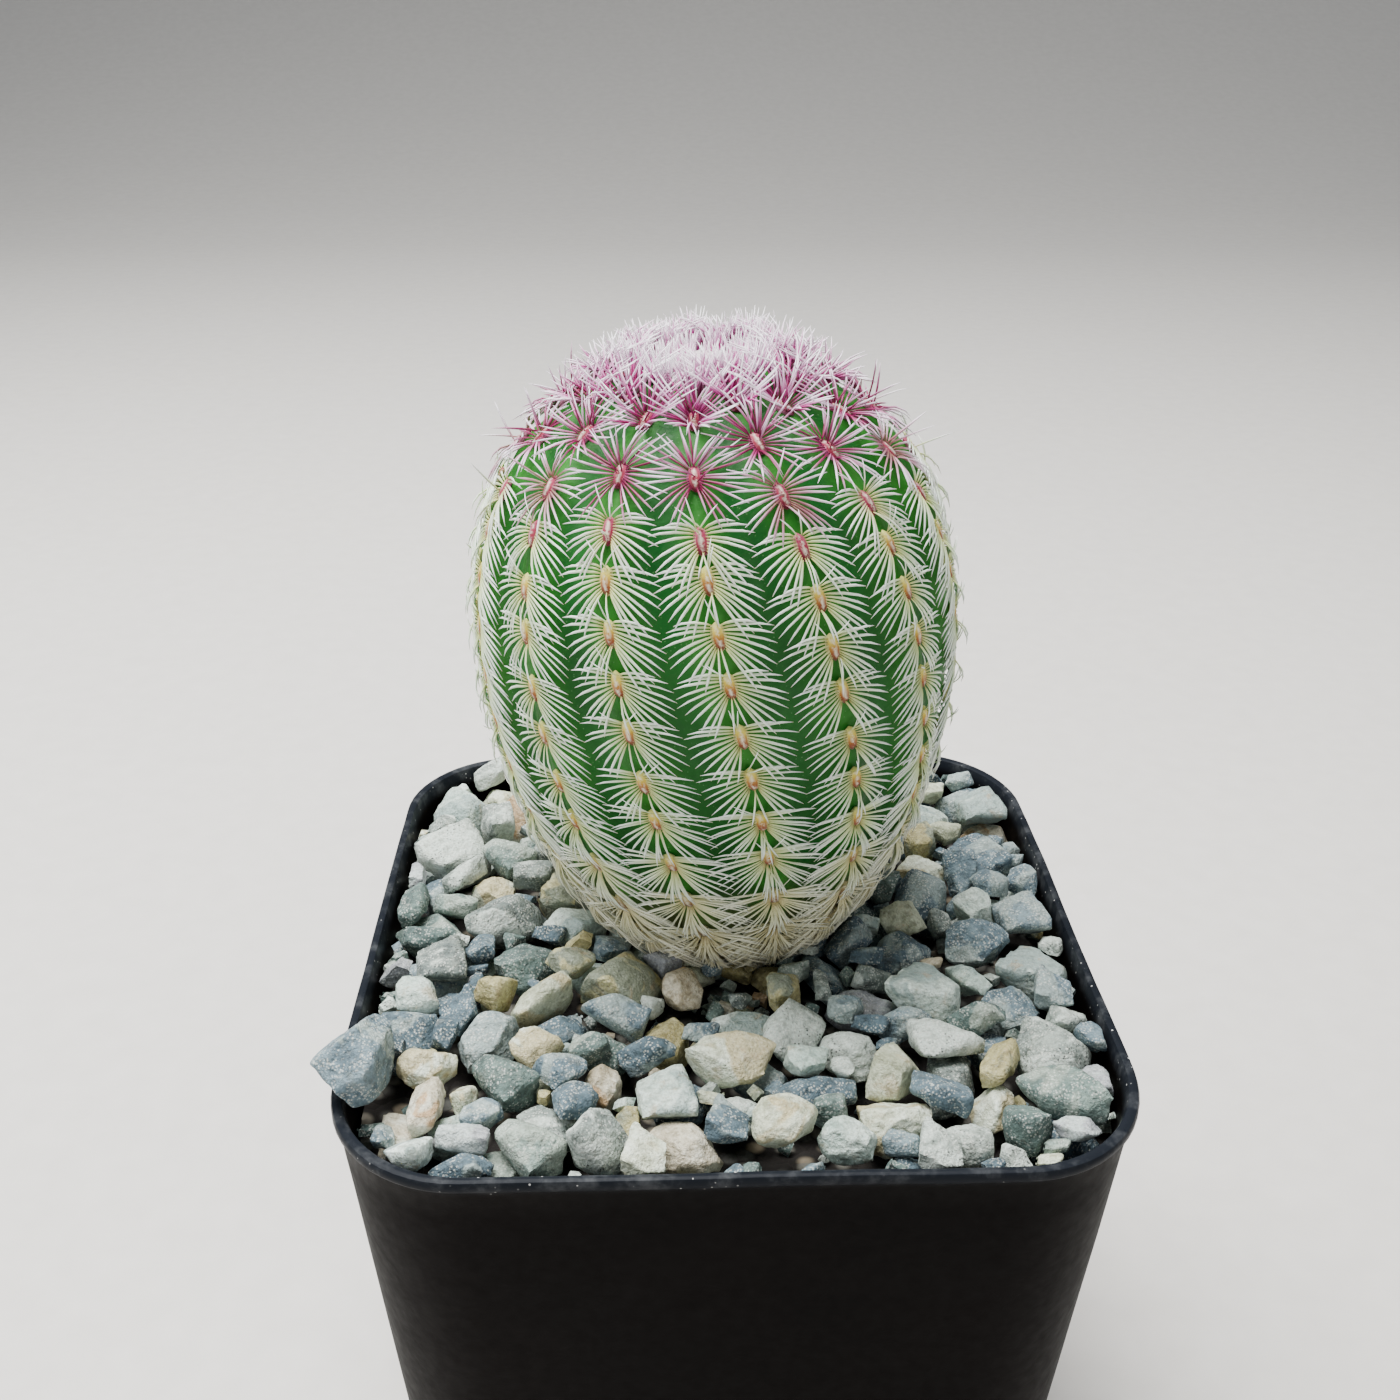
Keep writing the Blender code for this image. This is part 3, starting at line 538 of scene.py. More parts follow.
def pot_walk():
    """(half width, height) all round the pot's wall, from under its middle to its inner floor."""
    foot = outer_half(0) - FOOT_WIDTH
    channel = foot - CHANNEL_SLOPE - CHANNEL_WIDTH
    lip_z, wide, r = POT_HEIGHT - LIP_HEIGHT, POT_WIDTH / 2, LIP_ROUND
    walk = [(channel - CHANNEL_SLOPE, 0), (channel, CHANNEL_RISE)]
    walk += [(foot - CHANNEL_SLOPE, CHANNEL_RISE), (foot, 0), (outer_half(0) - 0.5 * MM, 0)]
    walk += [(outer_half(0) - 0.15 * MM, 0.15 * MM), (outer_half(0.5 * MM), 0.5 * MM)]
    walk += [(outer_half(z * MM), z * MM) for z in (4, 10, 18, 26, 34, 42, 50, 56, 60)]
    walk += [(outer_half(lip_z) - 0.02 * MM, lip_z - 0.15 * MM), (outer_half(lip_z) + 0.06 * MM, lip_z)]
    walk += [(wide - 0.08 * MM, lip_z + 0.24 * MM), (wide, lip_z + 0.42 * MM), (wide, POT_HEIGHT - r)]
    walk += [(wide - 0.09 * MM, POT_HEIGHT - 0.09 * MM), (wide - r, POT_HEIGHT)]
    inner = wide - POT_WALL
    walk += [(inner + r, POT_HEIGHT), (inner + 0.09 * MM, POT_HEIGHT - 0.09 * MM)]
    walk += [(inner, POT_HEIGHT - r)]
    walk += [(inner_half(z * MM), z * MM) for z in (61.6, 58, 54, 48, 38, 26, 14, 4)]
    walk += [(inner_half(0) - 0.2 * MM, POT_WALL + 0.3 * MM), (inner_half(0) - 0.6 * MM, POT_WALL)]
    walk += [(foot + POT_WALL, POT_WALL), (foot, CHANNEL_RISE + POT_WALL)]
    walk += [(channel, CHANNEL_RISE + POT_WALL), (channel - CHANNEL_SLOPE - POT_WALL, POT_WALL)]
    return walk


def warp_wall(bm):
    """Sways the upper wall in by a fraction of a millimetre and waves the rim a little."""
    for v in bm.verts:
        high = max(0, (v.co.z - WARP_FROM) / (POT_HEIGHT - WARP_FROM))
        if not high:
            continue
        level = Vector((v.co.x, v.co.y, 0))
        sway = noise.noise(level * 55) * 0.28 + noise.noise(v.co * 260) * 0.07
        v.co += level.normalized() * min(0, sway * high * MM)
        wave = noise.noise(Vector((v.co.x, v.co.y, 3)) * 60) * 0.2 * MM
        v.co.z += wave * max(0, high - 0.9) * 10 - 0.05 * MM


def make_pot():
    bm = bmesh.new()
    walk = pot_walk()
    face = first_section(bm, *walk[0])
    for half, z in walk[1:]:
        face = raise_section(bm, face, half, z)
    face_out(bm)
    warp_wall(bm)
    cut = bmesh.new()
    away = outer_half(0) - FOOT_WIDTH - CHANNEL_SLOPE - CHANNEL_WIDTH / 2
    for x, y in ((away, 0), (-away, 0), (0, away), (0, -away)):
        bmesh.ops.create_cone(
            cut, cap_ends=True, segments=32, radius1=DRAIN_RADIUS, radius2=DRAIN_RADIUS,
            depth=4 * MM, matrix=Matrix.Translation((x, y, CHANNEL_RISE)),
        )
    cutter = new_object("drain_cutter", mesh_of(cut, "drain_cutter"))
    wall = mesh_of(bm, "pot_shell")
    shell = applied(wall, "BOOLEAN", operation="DIFFERENCE", object=cutter, solver="EXACT")
    bpy.data.objects.remove(cutter)
    piece_from_mesh("nursery_pot", shell, [pot_plastic()], ["pot"], 40)


# --- Stem ---


def crest_radius(height):
    if height >= WIDEST_HEIGHT:
        share = min(1, (height - WIDEST_HEIGHT) / (CROWN_HEIGHT - WIDEST_HEIGHT))
        return BODY_RADIUS * (1 - share**SHOULDER_POWER) ** (1 / SHOULDER_POWER)
    share = min(1, (WIDEST_HEIGHT - height) / (WIDEST_HEIGHT + BASE_DEPTH))
    return BODY_RADIUS * (1 - share**FOOT_POWER) ** (1 / FOOT_POWER)


def crest_outline(rings):
    """(radius, height) points up a crest from the ground line to the crown, evenly turned."""
    bottom = math.asin((WIDEST_HEIGHT / (WIDEST_HEIGHT + BASE_DEPTH)) ** (FOOT_POWER / 2))
    turns = [-bottom * (1 - i / rings) for i in range(rings)]
    turns += [math.pi / 2 * i / rings for i in range(rings + 1)]
    points = []
    for turn in turns:
        reach = CROWN_HEIGHT - WIDEST_HEIGHT if turn > 0 else WIDEST_HEIGHT + BASE_DEPTH
        power = 2 / SHOULDER_POWER if turn > 0 else 2 / FOOT_POWER
        height = WIDEST_HEIGHT + math.copysign(reach * abs(math.sin(turn)) ** power, turn)
        points.append((BODY_RADIUS * abs(math.cos(turn)) ** power, height))
    points[-1] = (0, CROWN_HEIGHT)
    return points


CREST = np.array(crest_outline(120))
CREST_STEPS = np.r_[0, np.cumsum(np.hypot(*np.diff(CREST, axis=0).T))]


def on_crest(arc):
    """(radius, height, outward radius, outward height) at lengths along a crest, as arrays."""
    arc = np.clip(arc, 0, CREST_STEPS[-1])
    radius, height = (np.interp(arc, CREST_STEPS, CREST[:, k]) for k in (0, 1))
    ahead, behind = (np.clip(arc + step, 0, CREST_STEPS[-1]) for step in (0.4 * MM, -0.4 * MM))
    across, up = (
        np.interp(ahead, CREST_STEPS, CREST[:, k]) - np.interp(behind, CREST_STEPS, CREST[:, k])
        for k in (0, 1)
    )
    long = np.hypot(across, up)
    return radius, height, up / long, -across / long


def rib_angle(rib, height):
    return RIB_TURN + rib * math.tau / RIBS + RIB_TWIST * (height - WIDEST_HEIGHT) / CROWN_HEIGHT


def groove_share(angle, height):
    """0 on a crest and 1 in a furrow."""
    return (1 - np.cos((angle - rib_angle(0, height)) * RIBS)) / 2


def rib_arcs(rib):
    """Where a rib's areoles lie along its crest. Every other rib's lie half a step higher."""
    arcs = AREOLE_ARCS + YOUNG_ARCS
    arcs = [(a + b) / 2 for a, b in zip(arcs, arcs[1:])] if rib % 2 else arcs[:-1]
    rng = rng_for(f"areoles {rib}")
    return [(a + rng.uniform(-0.25, 0.25)) * MM for a in arcs]


def make_stem():
    """The ribbed body with its neck and root, turned in one piece and then furrowed."""
    neck = [(0, -ROOT_DEPTH), (0.25 * NECK_RADIUS, -0.8 * ROOT_DEPTH)]
    neck += [(0.6 * NECK_RADIUS, -0.45 * ROOT_DEPTH), (NECK_RADIUS, -1.5 * BASE_DEPTH)]
    bm = bmesh.new()
    chain = [bm.verts.new((r, 0, z)) for r, z in neck + crest_outline(34)]
    for a, b in zip(chain, chain[1:]):
        bm.edges.new((a, b))
    bmesh.ops.spin(
        bm, geom=bm.verts[:] + bm.edges[:], cent=(0, 0, 0), axis=(0, 0, 1),
        angle=math.tau, steps=RIBS * 12, use_merge=True,
    )
    bmesh.ops.remove_doubles(bm, verts=bm.verts, dist=0.01 * MM)
    face_out(bm)
    swells = [[float(on_crest(arc)[1]) for arc in rib_arcs(rib)] for rib in range(RIBS)]
    furrow, climb = [], []
    for v in bm.verts:
        radius, height = math.hypot(v.co.x, v.co.y), v.co.z
        angle = math.atan2(v.co.y, v.co.x) + rib_angle(0, height)
        share = float(groove_share(angle, height))
        if radius > 0.1 * MM and height > 0:
            rib = round((angle - rib_angle(0, height)) / math.tau * RIBS) % RIBS
            near = min(abs(height - h) for h in swells[rib])
            swell = 0.5 * math.exp(-((near / (1.3 * MM)) ** 2)) * (1 - share) ** 2
            fade = min(1, height / (0.2 * WIDEST_HEIGHT)) * crest_radius(height) / BODY_RADIUS
            dent = GROOVE_DEPTH * fade * share + (0.28 - 0.5 * swell) * MM * fade * (1 - share)
            radius -= dent + 0.05 * MM * noise.noise(v.co * 300)
            v.co = (radius * math.cos(angle), radius * math.sin(angle), height)
        furrow.append(share)
        climb.append(max(0, height / CROWN_HEIGHT))
    bmesh.ops.transform(bm, matrix=PLANT, verts=bm.verts)
    made = finished("ribbed_stem", bm, stem_skin(), ["cactus_stem"])
    add_values(made.data, "furrow", furrow)
    add_values(made.data, "climb", climb)


# --- Spines ---

SPINE_SIDES = 4
SPINE_STATIONS = (0.0, 0.14, 0.42, 0.74, 1.0)  # where a spine has a ring of points
SPINE_GIRTHS = (0.42, 0.82, 1.0, 0.8, 0.16)  # of its thickness, at each station
PAD_HALF_HEIGHT, PAD_HALF_WIDTH = 1.15 * MM, 0.62 * MM


def settled(bm):
    """Puts a bmesh's elements in plain order, as copying one after another needs."""
    mesh = bpy.data.meshes.new("settled")
    bm.to_mesh(mesh)
    bm.clear()
    bm.from_mesh(mesh)
    bpy.data.meshes.remove(mesh)


def repeat(bm, count):
    """Fills a bmesh with count copies of what it holds, one after another."""
    sizes = [len(bm.verts), len(bm.edges), len(bm.faces)]
    made = 1
    while made < count:
        take = min(made, count - made)
        geom = []
        for one, size in zip((bm.verts, bm.edges, bm.faces), sizes):
            geom += one[: take * size]
        bmesh.ops.duplicate(bm, geom=geom)
        made += take


def spine_blank():
    """A four-sided rod of unit length along Z with its rings at the spine's stations."""
    bm = bmesh.new()
    bmesh.ops.create_cone(bm, cap_ends=True, segments=SPINE_SIDES, radius1=1, radius2=1, depth=1)
    bmesh.ops.translate(bm, verts=bm.verts, vec=(0, 0, 0.5))
    for z in SPINE_STATIONS[1:-1]:
        bmesh.ops.bisect_plane(
            bm, geom=bm.verts[:] + bm.edges[:] + bm.faces[:], dist=1e-6,
            plane_co=(0, 0, z), plane_no=(0, 0, 1),
        )
    face_out(bm)
    settled(bm)
    return bm


def bend_spines(spines):
    """A mesh of every spine, each the blank bent along its own curve.

    spines holds for each the curve's points at the stations, its thickness and its values.
    """
    bm = spine_blank()
    blank = np.array([v.co[:] for v in bm.verts])
    station = np.abs(blank[:, 2, None] - np.array(SPINE_STATIONS)).argmin(axis=1)
    repeat(bm, len(spines))
    mesh = mesh_of(bm, "spines")
    curves = np.array([s["curve"] for s in spines])
    ways = np.gradient(curves, axis=1)
    ways /= np.linalg.norm(ways, axis=2, keepdims=True)
    aside = np.cross(ways, np.array([s["out"] for s in spines])[:, None])
    aside /= np.linalg.norm(aside, axis=2, keepdims=True)
    off = np.cross(ways, aside)
    thick = np.array([s["thick"] for s in spines])[:, None, None] / 2
    girth = np.array(SPINE_GIRTHS)[station][None, :, None] * thick
    place = curves[:, station] + aside[:, station] * blank[None, :, :1] * girth
    place += off[:, station] * blank[None, :, 1:2] * girth
    leaning = (place.reshape(-1, 3) @ np.array(PLANT.to_3x3()).T) + np.array(PLANT_AT)
    mesh.vertices.foreach_set("co", leaning.astype(np.float32).ravel())
    mesh.update()
    values = {"along": np.tile(np.array(SPINE_STATIONS)[station], len(spines))}
    for key in ("young", "old", "tone"):
        values[key] = np.repeat([s[key] for s in spines], len(blank))
    return mesh, values


def on_skin(rib, arc, along, aside, lift):
    """A point near an areole: along up the crest, aside round the stem and lift off the skin."""
    radius, height, out_r, out_z = (float(x) for x in on_crest(arc + along))
    angle = rib_angle(rib, height) + aside / max(radius, 3.5 * MM)
    drop = 0.35 * GROOVE_DEPTH * radius / BODY_RADIUS * float(groove_share(angle, height))
    reach = radius + (lift - drop) * out_r
    return Vector((reach * math.cos(angle), reach * math.sin(angle), height + (lift - drop) * out_z))


def outward(rib, arc):
    radius, height, out_r, out_z = (float(x) for x in on_crest(arc))
    angle = rib_angle(rib, height)
    return Vector((out_r * math.cos(angle), out_r * math.sin(angle), out_z))


def one_spine(rib, arc, start, turn, length, rise, hug, bow, rng, **values):
    """A spine that leaves the areole at turn from straight up the rib, then bows down it.

    rise is how steeply it stands off the skin, and hug how far it comes back to it.
    """
    points = []
    for t in SPINE_STATIONS:
        reach = length * t
        points.append(
            on_skin(
                rib, arc, start[1] + reach * math.cos(turn) - bow * t * t,
                start[0] + reach * math.sin(turn), 0.32 * MM + rise * (t - hug * t * t),
            )
        )
    return {"curve": [p[:] for p in points], "out": outward(rib, arc)[:], "tone": rng.random(), **values}


def share_between(value, low, high):
    return min(1, max(0, (value - low) / (high - low)))


def oldness(share):
    """How old an areole looks, from its share of the way up the crest."""
    return share_between(share, 0.42, 0.13)


def comb_spines(rib, arc, share, rng):
    """The spines of one areole: a comb down each side, some under it and fine ones above.

    share is how far up the crest it is. Low down they are old, dense and untidy. Near the top they
    are young and spread all round, and in the crown they stand erect.
    """
    old, young = oldness(share), share_between(share, 0.70, 0.80)
    erect = share_between(share, 0.81, 0.90)
    ages = {"young": 0.8 * young + 0.12 * erect, "old": old}
    half_pitch = math.pi / RIBS * float(on_crest(arc)[0])
    reach = max(min(3.8 * MM, half_pitch - 0.05 * MM) * (1 + 0.5 * old), (3.1 + 0.8 * young) * MM)
    loose = 0.04 + 0.2 * old + 0.06 * young
    spines = []

    def grow(start, turn, length, rise, hug, bow, thick):
        """Adds a spine. Its start, rise, bow and thickness are in millimetres."""
        start = (start[0] * MM, start[1] * MM)
        turn += rng.uniform(-loose, loose)
        thick *= MM * rng.uniform(0.88, 1.1)
        spines.append(
            one_spine(rib, arc, start, turn, length, rise * MM, hug, bow * MM, rng, thick=thick, **ages)
        )

    thick = 0.235 - 0.075 * old - 0.03 * young
    a_side = 10 + round(12 * old + 2 * young)
    first, span = 66 - 38 * young, 84 + 48 * young
    hug = 0.72 - 0.45 * young - 0.2 * old
    for side in (-1, 1):
        for i in range(a_side):
            t = i / (a_side - 1)
            swell = 0.88 + 0.16 * math.sin(math.pi * min(1, 0.15 + 0.85 * t))
            length = reach * (1 - 0.24 * erect) * swell * rng.uniform(0.93, 1.05)
            length *= 0.8 if i == 0 else 1
            rise = 1.0 + rng.uniform(-0.15, 0.3) + 0.5 * young + 2.9 * erect + old * rng.uniform(0, 2.4)
            bow = (1.25 - 0.65 * t) * (1 + 0.5 * old) * (1 - 0.8 * young) - 1.1 * erect
            turn = side * math.radians(first + span * t)
            grow((side * 0.34, 0.9 - 1.8 * t), turn, length, rise, hug, bow, thick)
    for _ in range(2 + round(30 * old)):
        start, turn = (rng.uniform(-0.25, 0.25), -0.8), math.radians(rng.uniform(156, 204))
        length = reach * rng.uniform(0.55, 0.8 + 0.3 * old)
        rise = 1.5 + 1.2 * rng.random() + young + 1.4 * erect + old
        grow(start, turn, length, rise, 0.6, 0.1, 0.17 - 0.02 * old)
    for _ in range(2 + round(4 * young + 4 * erect)):
        start, turn = (rng.uniform(-0.3, 0.3), 0.8), math.radians(rng.uniform(-58, 58))
        length = reach * (rng.uniform(0.45, 0.7) + 0.2 * young)
        rise = 1.2 + 0.8 * rng.random() + 0.6 * young + 2.4 * erect
        grow(start, turn, length, rise, 0.4, 0, 0.12 + 0.07 * young)
    for _ in range(round(3 * young * (1 - erect) + 8 * erect)):
        start, turn = (rng.uniform(-0.3, 0.3), rng.uniform(-0.6, 0.6)), rng.uniform(0, math.tau)
        length = reach * rng.uniform(0.25, 0.6)
        grow(start, turn, length, rng.uniform(3.0, 4.0), 0.05, 0, 0.18)
    return spines


def felt_pads(bm, pads):
    """Fills a bmesh with an oval pad for each areole and returns its values."""
    bmesh.ops.create_uvsphere(bm, u_segments=8, v_segments=6, radius=1)
    settled(bm)
    blank = [v.co.copy() for v in bm.verts]
    repeat(bm, len(pads))
    bm.verts.ensure_lookup_table()
    values = {"along": [], "young": [], "old": [], "tone": [], "wisp": [], "rim": []}
    for i, (rib, arc, young, old, tone) in enumerate(pads):
        for j, b in enumerate(blank):
            lift = max(-0.25, b.z * 0.34 + 0.14) * MM
            spot = on_skin(rib, arc, b.y * PAD_HALF_HEIGHT, b.x * PAD_HALF_WIDTH, lift)
            bm.verts[i * len(blank) + j].co = PLANT @ spot
            values["along"].append((b.y + 1) / 2)
            values["wisp"].append(math.exp(-((b.x / 0.2) ** 2)) * (abs(b.y) < 0.75))
            values["rim"].append(min(1, math.hypot(b.x, 0.55 * b.y) ** 2 * 1.1))
            values["young"].append(young)
            values["old"].append(old)
            values["tone"].append(tone)
    return values


def joined(meshes):
    """One mesh of several, with their values, the first material index on the first and so on."""
    bm = bmesh.new()
    for i, mesh in enumerate(meshes):
        before = len(bm.faces)
        bm.from_mesh(mesh)
        bm.faces.ensure_lookup_table()
        for face in bm.faces[before:]:
            face.material_index = i
    return mesh_of(bm, "joined")


def make_rib_spines(horn, felt):
    for rib in range(RIBS):
        rng = rng_for(f"rib spines {rib}")
        spines, pads = [], []
        for arc in rib_arcs(rib):
            share = arc / CREST_LENGTH
            spines += comb_spines(rib, arc, share, rng)
            young = share_between(share, 0.68, 0.73)
            pads.append((rib, arc, young, oldness(share), rng.random()))
        spine_mesh, spine_values = bend_spines(spines)
        bm = bmesh.new()
        pad_values = felt_pads(bm, pads)
        mesh = joined([spine_mesh, mesh_of(bm, "pads")])
        name, node = f"rib_{rib + 1:02d}_spines", f"rib_spines_{rib + 1:02d}"
        made = piece_from_mesh(name, mesh, [horn, felt], [node])
        for key in ("along", "young", "old", "tone"):
            add_values(made.data, key, np.r_[spine_values[key], pad_values[key]])
        for key in ("wisp", "rim"):
            add_values(made.data, key, np.r_[np.zeros(len(spine_mesh.vertices)), pad_values[key]])


def crown_sheaf_places(rng):
    """(rib, arc, number of spines) of each sheaf: one on each rib, and two rings inside them."""
    places = []
    for rib in range(RIBS):
        high = 63.9 if rib % 2 else 62.8
        places.append((rib, (high + rng.uniform(-0.3, 0.3)) * MM, 30))
    for i in range(9):
        places.append((i * 1.667 + 0.3, (65.5 + rng.uniform(-0.4, 0.4)) * MM, 22))
    return places + [(i * 3 + 1, 67.0 * MM, 18) for i in range(5)]


def make_crown(horn):
    """The newest areoles: upright sheaves of young spines round the wool of the growing point."""
    rng = rng_for("crown")
    spines = []
    for rib, arc, count in crown_sheaf_places(rng):
        inner = share_between(arc / CREST_LENGTH, 0.90, 0.98)
        root = on_skin(rib, arc, 0, 0, 0.2 * MM)
        angle = math.atan2(root.y, root.x)
        away = Vector((math.cos(angle), math.sin(angle), 0))
        across = UP.cross(away)
        core = (UP + away * (0.26 - 0.2 * inner)).normalized()
        for i in range(count):
            turn = i / count * math.tau + rng.uniform(-0.15, 0.15)
            open_out = rng.uniform(0.04, 0.4)
            fan = (across * math.cos(turn) + away.lerp(core, 0.2) * math.sin(turn) * 0.9).normalized()
            way = (core + fan * open_out).normalized()
            length = rng.uniform(3.2, 4.4) * MM * (1.0 - 0.56 * inner)
            start = root + (across * math.cos(turn) * 0.32 + away * math.sin(turn) * 0.32) * MM
            points = [start + way * length * t + fan * 0.06 * length * t * t for t in SPINE_STATIONS]
            spine = {"curve": [p[:] for p in points], "out": fan[:], "tone": rng.random()}
            spine |= {"young": rng.uniform(0.86, 1.0), "old": 0.0, "thick": rng.uniform(0.15, 0.21) * MM}
            spines.append(spine)
    mesh, values = bend_spines(spines)
    bm = bmesh.new()
    bmesh.ops.create_icosphere(bm, subdivisions=4, radius=1)
    top = PLANT @ (UP * CROWN_HEIGHT)
    for v in bm.verts:
        ruffle = 1 + 0.16 * noise.noise(v.co * 3.1) + 0.07 * noise.noise(v.co * 9)
        v.co = top + v.co * Vector((4.5, 4.5, 1.25)) * ruffle * MM
    wool = mesh_of(bm, "wool")
    both, materials = joined([mesh, wool]), [horn, crown_wool()]
    made = piece_from_mesh("crown_sheaves", both, materials, ["crown_spines"])
    for key in ("along", "young", "old", "tone"):
        add_values(made.data, key, np.r_[values[key], np.zeros(len(wool.vertices))])


# --- Gravel ---

GRID = 0.25 * MM  # one cell of the grid of heights that stones are dropped on
HALF = POT_WIDTH / 2 + 4 * MM  # half the grid's width
CELLS = math.ceil(2 * HALF / GRID)
HOLLOWS = ((-2.5 * MM, -7.3 * MM), (2.0 * MM, -6.9 * MM))  # low places in front of the stem
HOLLOW_RADIUS, HOLLOW_DEPTH = 2 * MM, 3.4 * MM
BED_DEPTH = 7 * MM  # where stones land that miss the gravel bed
PLANT_REACH, PLANT_CLEARANCE = 24 * MM, 1.5 * MM  # how far the plant's shade goes, and its gap
CHIP_COARSE, CHIP_FINE = (0.27 * MM, 0.24 * MM), (0.08 * MM, 0.07 * MM)  # of lead, of loose stones


def middle_of(bm):
    return sum((v.co for v in bm.verts), Vector()) / len(bm.verts)


def break_face(bm, middle, way, share):
    """Breaks one flat face off a lump, a share of the way out to its furthest point."""
    far = max((v.co - middle).dot(way) for v in bm.verts)
    cut = bmesh.ops.bisect_plane(
        bm, geom=bm.verts[:] + bm.edges[:] + bm.faces[:], dist=1e-7,
        plane_co=middle + way * far * share, plane_no=way, clear_outer=True,
    )
    loop = [g for g in cut["geom_cut"] if isinstance(g, bmesh.types.BMEdge)]
    if loop:
        bmesh.ops.edgeloop_fill(bm, edges=loop)


def chip(bm, rng, cuts, least, most):
    middle = middle_of(bm)
    for _ in range(cuts):
        way = Vector([rng.gauss(0, 1) for _ in range(3)]).normalized()
        break_face(bm, middle, way, rng.uniform(least, most))


def roughen(mesh, voxel, coarse, fine, seed):
    """Remakes a faceted stone with worn edges and a broken grain, coarse and fine in depth."""
    mesh = applied(mesh, "REMESH", mode="VOXEL", voxel_size=voxel)
    bm = bmesh.new()
    bm.from_mesh(mesh)
    bmesh.ops.smooth_vert(
        bm, verts=bm.verts, factor=0.35, use_axis_x=True, use_axis_y=True, use_axis_z=True
    )
    bm.normal_update()
    moves = []
    for v in bm.verts:
        at = v.co + Vector((seed, 0, 0))
        depth = noise.noise(at * 230) * 1.3 * coarse - abs(noise.noise(at * 560)) * 0.9 * coarse
        moves.append(v.normal * (depth + noise.noise(at * 1700) * fine))
    for v, move in zip(bm.verts, moves):
        v.co += move
    bm.to_mesh(mesh)
    bm.free()
    return mesh


RIM_STONE = "stone_40"
STONE_EDGE = 50  # degrees, above which a stone's edge stays sharp
WEDGE_FACES = (
    # the right, up and front shares of each broken face's direction, and how far out it is
    (-0.62, 0.78, 0.0, 0.50), (-0.72, -0.66, 0.15, 0.52), (1.0, 0.05, 0.1, 0.62),
    (0.55, 0.80, 0.2, 0.70), (0.1, -0.45, 0.9, 0.72), (-0.1, 0.5, 0.86, 0.66),
)


def break_to_wedge(bm):
    """Breaks the stone that hangs over the rim to a pointed wedge, seen from the front."""
    middle = middle_of(bm)
    for v in bm.verts:
        v.co = middle + (v.co - middle) * 1.32
    right, up, front = Vector((1, 0, 0)), Vector((0, 0.45, 0.89)), Vector((0, -0.89, 0.45))
    for across, upward, forward, share in WEDGE_FACES:
        way = (right * across + up * upward + front * forward).normalized()
        break_face(bm, middle, way, share)


def make_lead_stones(finishes):
    """The stones of the frame, with a broken grain on them."""
    for node in sorted(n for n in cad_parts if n.startswith("stone_")):
        kind = KINDS[int(node[-2:]) - 1]
        bm = bmesh.new()
        bm.from_mesh(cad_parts[node].data)
        bmesh.ops.remove_doubles(bm, verts=bm.verts, dist=0.01 * MM)
        if node == RIM_STONE:
            break_to_wedge(bm)
        chip(bm, rng_for(f"chips {node}"), 5 if node == RIM_STONE else 11, 0.72, 0.93)
        bmesh.ops.triangulate(bm, faces=bm.faces)
        seed = int(node[-2:]) * 0.031
        mesh = roughen(mesh_of(bm, "merged"), 0.18 * MM, CHIP_COARSE[0], CHIP_FINE[0], seed)
        finish = finishes["slate" if node == RIM_STONE else kind]
        made = piece_from_mesh(f"lead_{node}", mesh, [finish], [node], STONE_EDGE)
        add_values(made.data, "tone", [rng_for(node).random()] * len(mesh.vertices))


KINDS = (
    "slate slate green_grey ochre white green_grey slate cream peach speckled white green_grey "
    "peach slate speckled white peach ochre slate lilac speckled slate slate cream cream white "
    "cream speckled slate cream slate cream white slate white cream cream green_grey slate green_grey"
).split()


def broken_blank(rng, cuts):
    """A lump one unit across with flat broken faces."""
    bm = bmesh.new()
    bmesh.ops.create_cube(bm, size=2)
    for v in bm.verts:
        v.co += Vector([rng.uniform(-0.35, 0.35) for _ in range(3)])
    bmesh.ops.delete(bm, geom=bm.edges[:], context="EDGES_FACES")
    bmesh.ops.convex_hull(bm, input=bm.verts)
    chip(bm, rng, cuts, 0.58, 0.86)
    bmesh.ops.remove_doubles(bm, verts=bm.verts, dist=0.05 if cuts > 6 else 0.15)
    bmesh.ops.triangulate(bm, faces=bm.faces)
    low = [min(v.co[k] for v in bm.verts) for k in range(3)]
    high = [max(v.co[k] for v in bm.verts) for k in range(3)]
    long = max(b - a for a, b in zip(low, high))
    shape = (1, rng.uniform(0.65, 0.95), rng.uniform(0.55, 0.85))
    for v in bm.verts:
        v.co = [(v.co[k] - (low[k] + high[k]) / 2) / long * shape[k] * 1.15 for k in range(3)]
    face_out(bm)
    return bm


def height_maps(bm, steps):
    """The lowest and highest points over each cell of a small grid centred on the lump."""
    tree = BVHTree.FromBMesh(bm)
    low = np.full((steps, steps), np.inf)
    high = np.full((steps, steps), -np.inf)
    for i in range(steps):
        for j in range(steps):
            x, y = (i + 0.5 - steps / 2) * GRID, (j + 0.5 - steps / 2) * GRID
            under = tree.ray_cast(Vector((x, y, -1)), UP)[0]
            if under:
                low[i, j] = under.z
                high[i, j] = tree.ray_cast(Vector((x, y, 1)), -UP)[0].z
    return low, high


def tree_of(name):
    bm = bmesh.new()
    bm.from_mesh(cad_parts[name].data)
    tree = BVHTree.FromBMesh(bm)
    bm.free()
    return tree


def inside_wall(x, y):
    wall, corner = inner_half(POT_HEIGHT - 4 * MM), CORNER_RADIUS - POT_WALL
    over = Vector((max(0, abs(x) - wall + corner), max(0, abs(y) - wall + corner)))
    return over.length <= corner


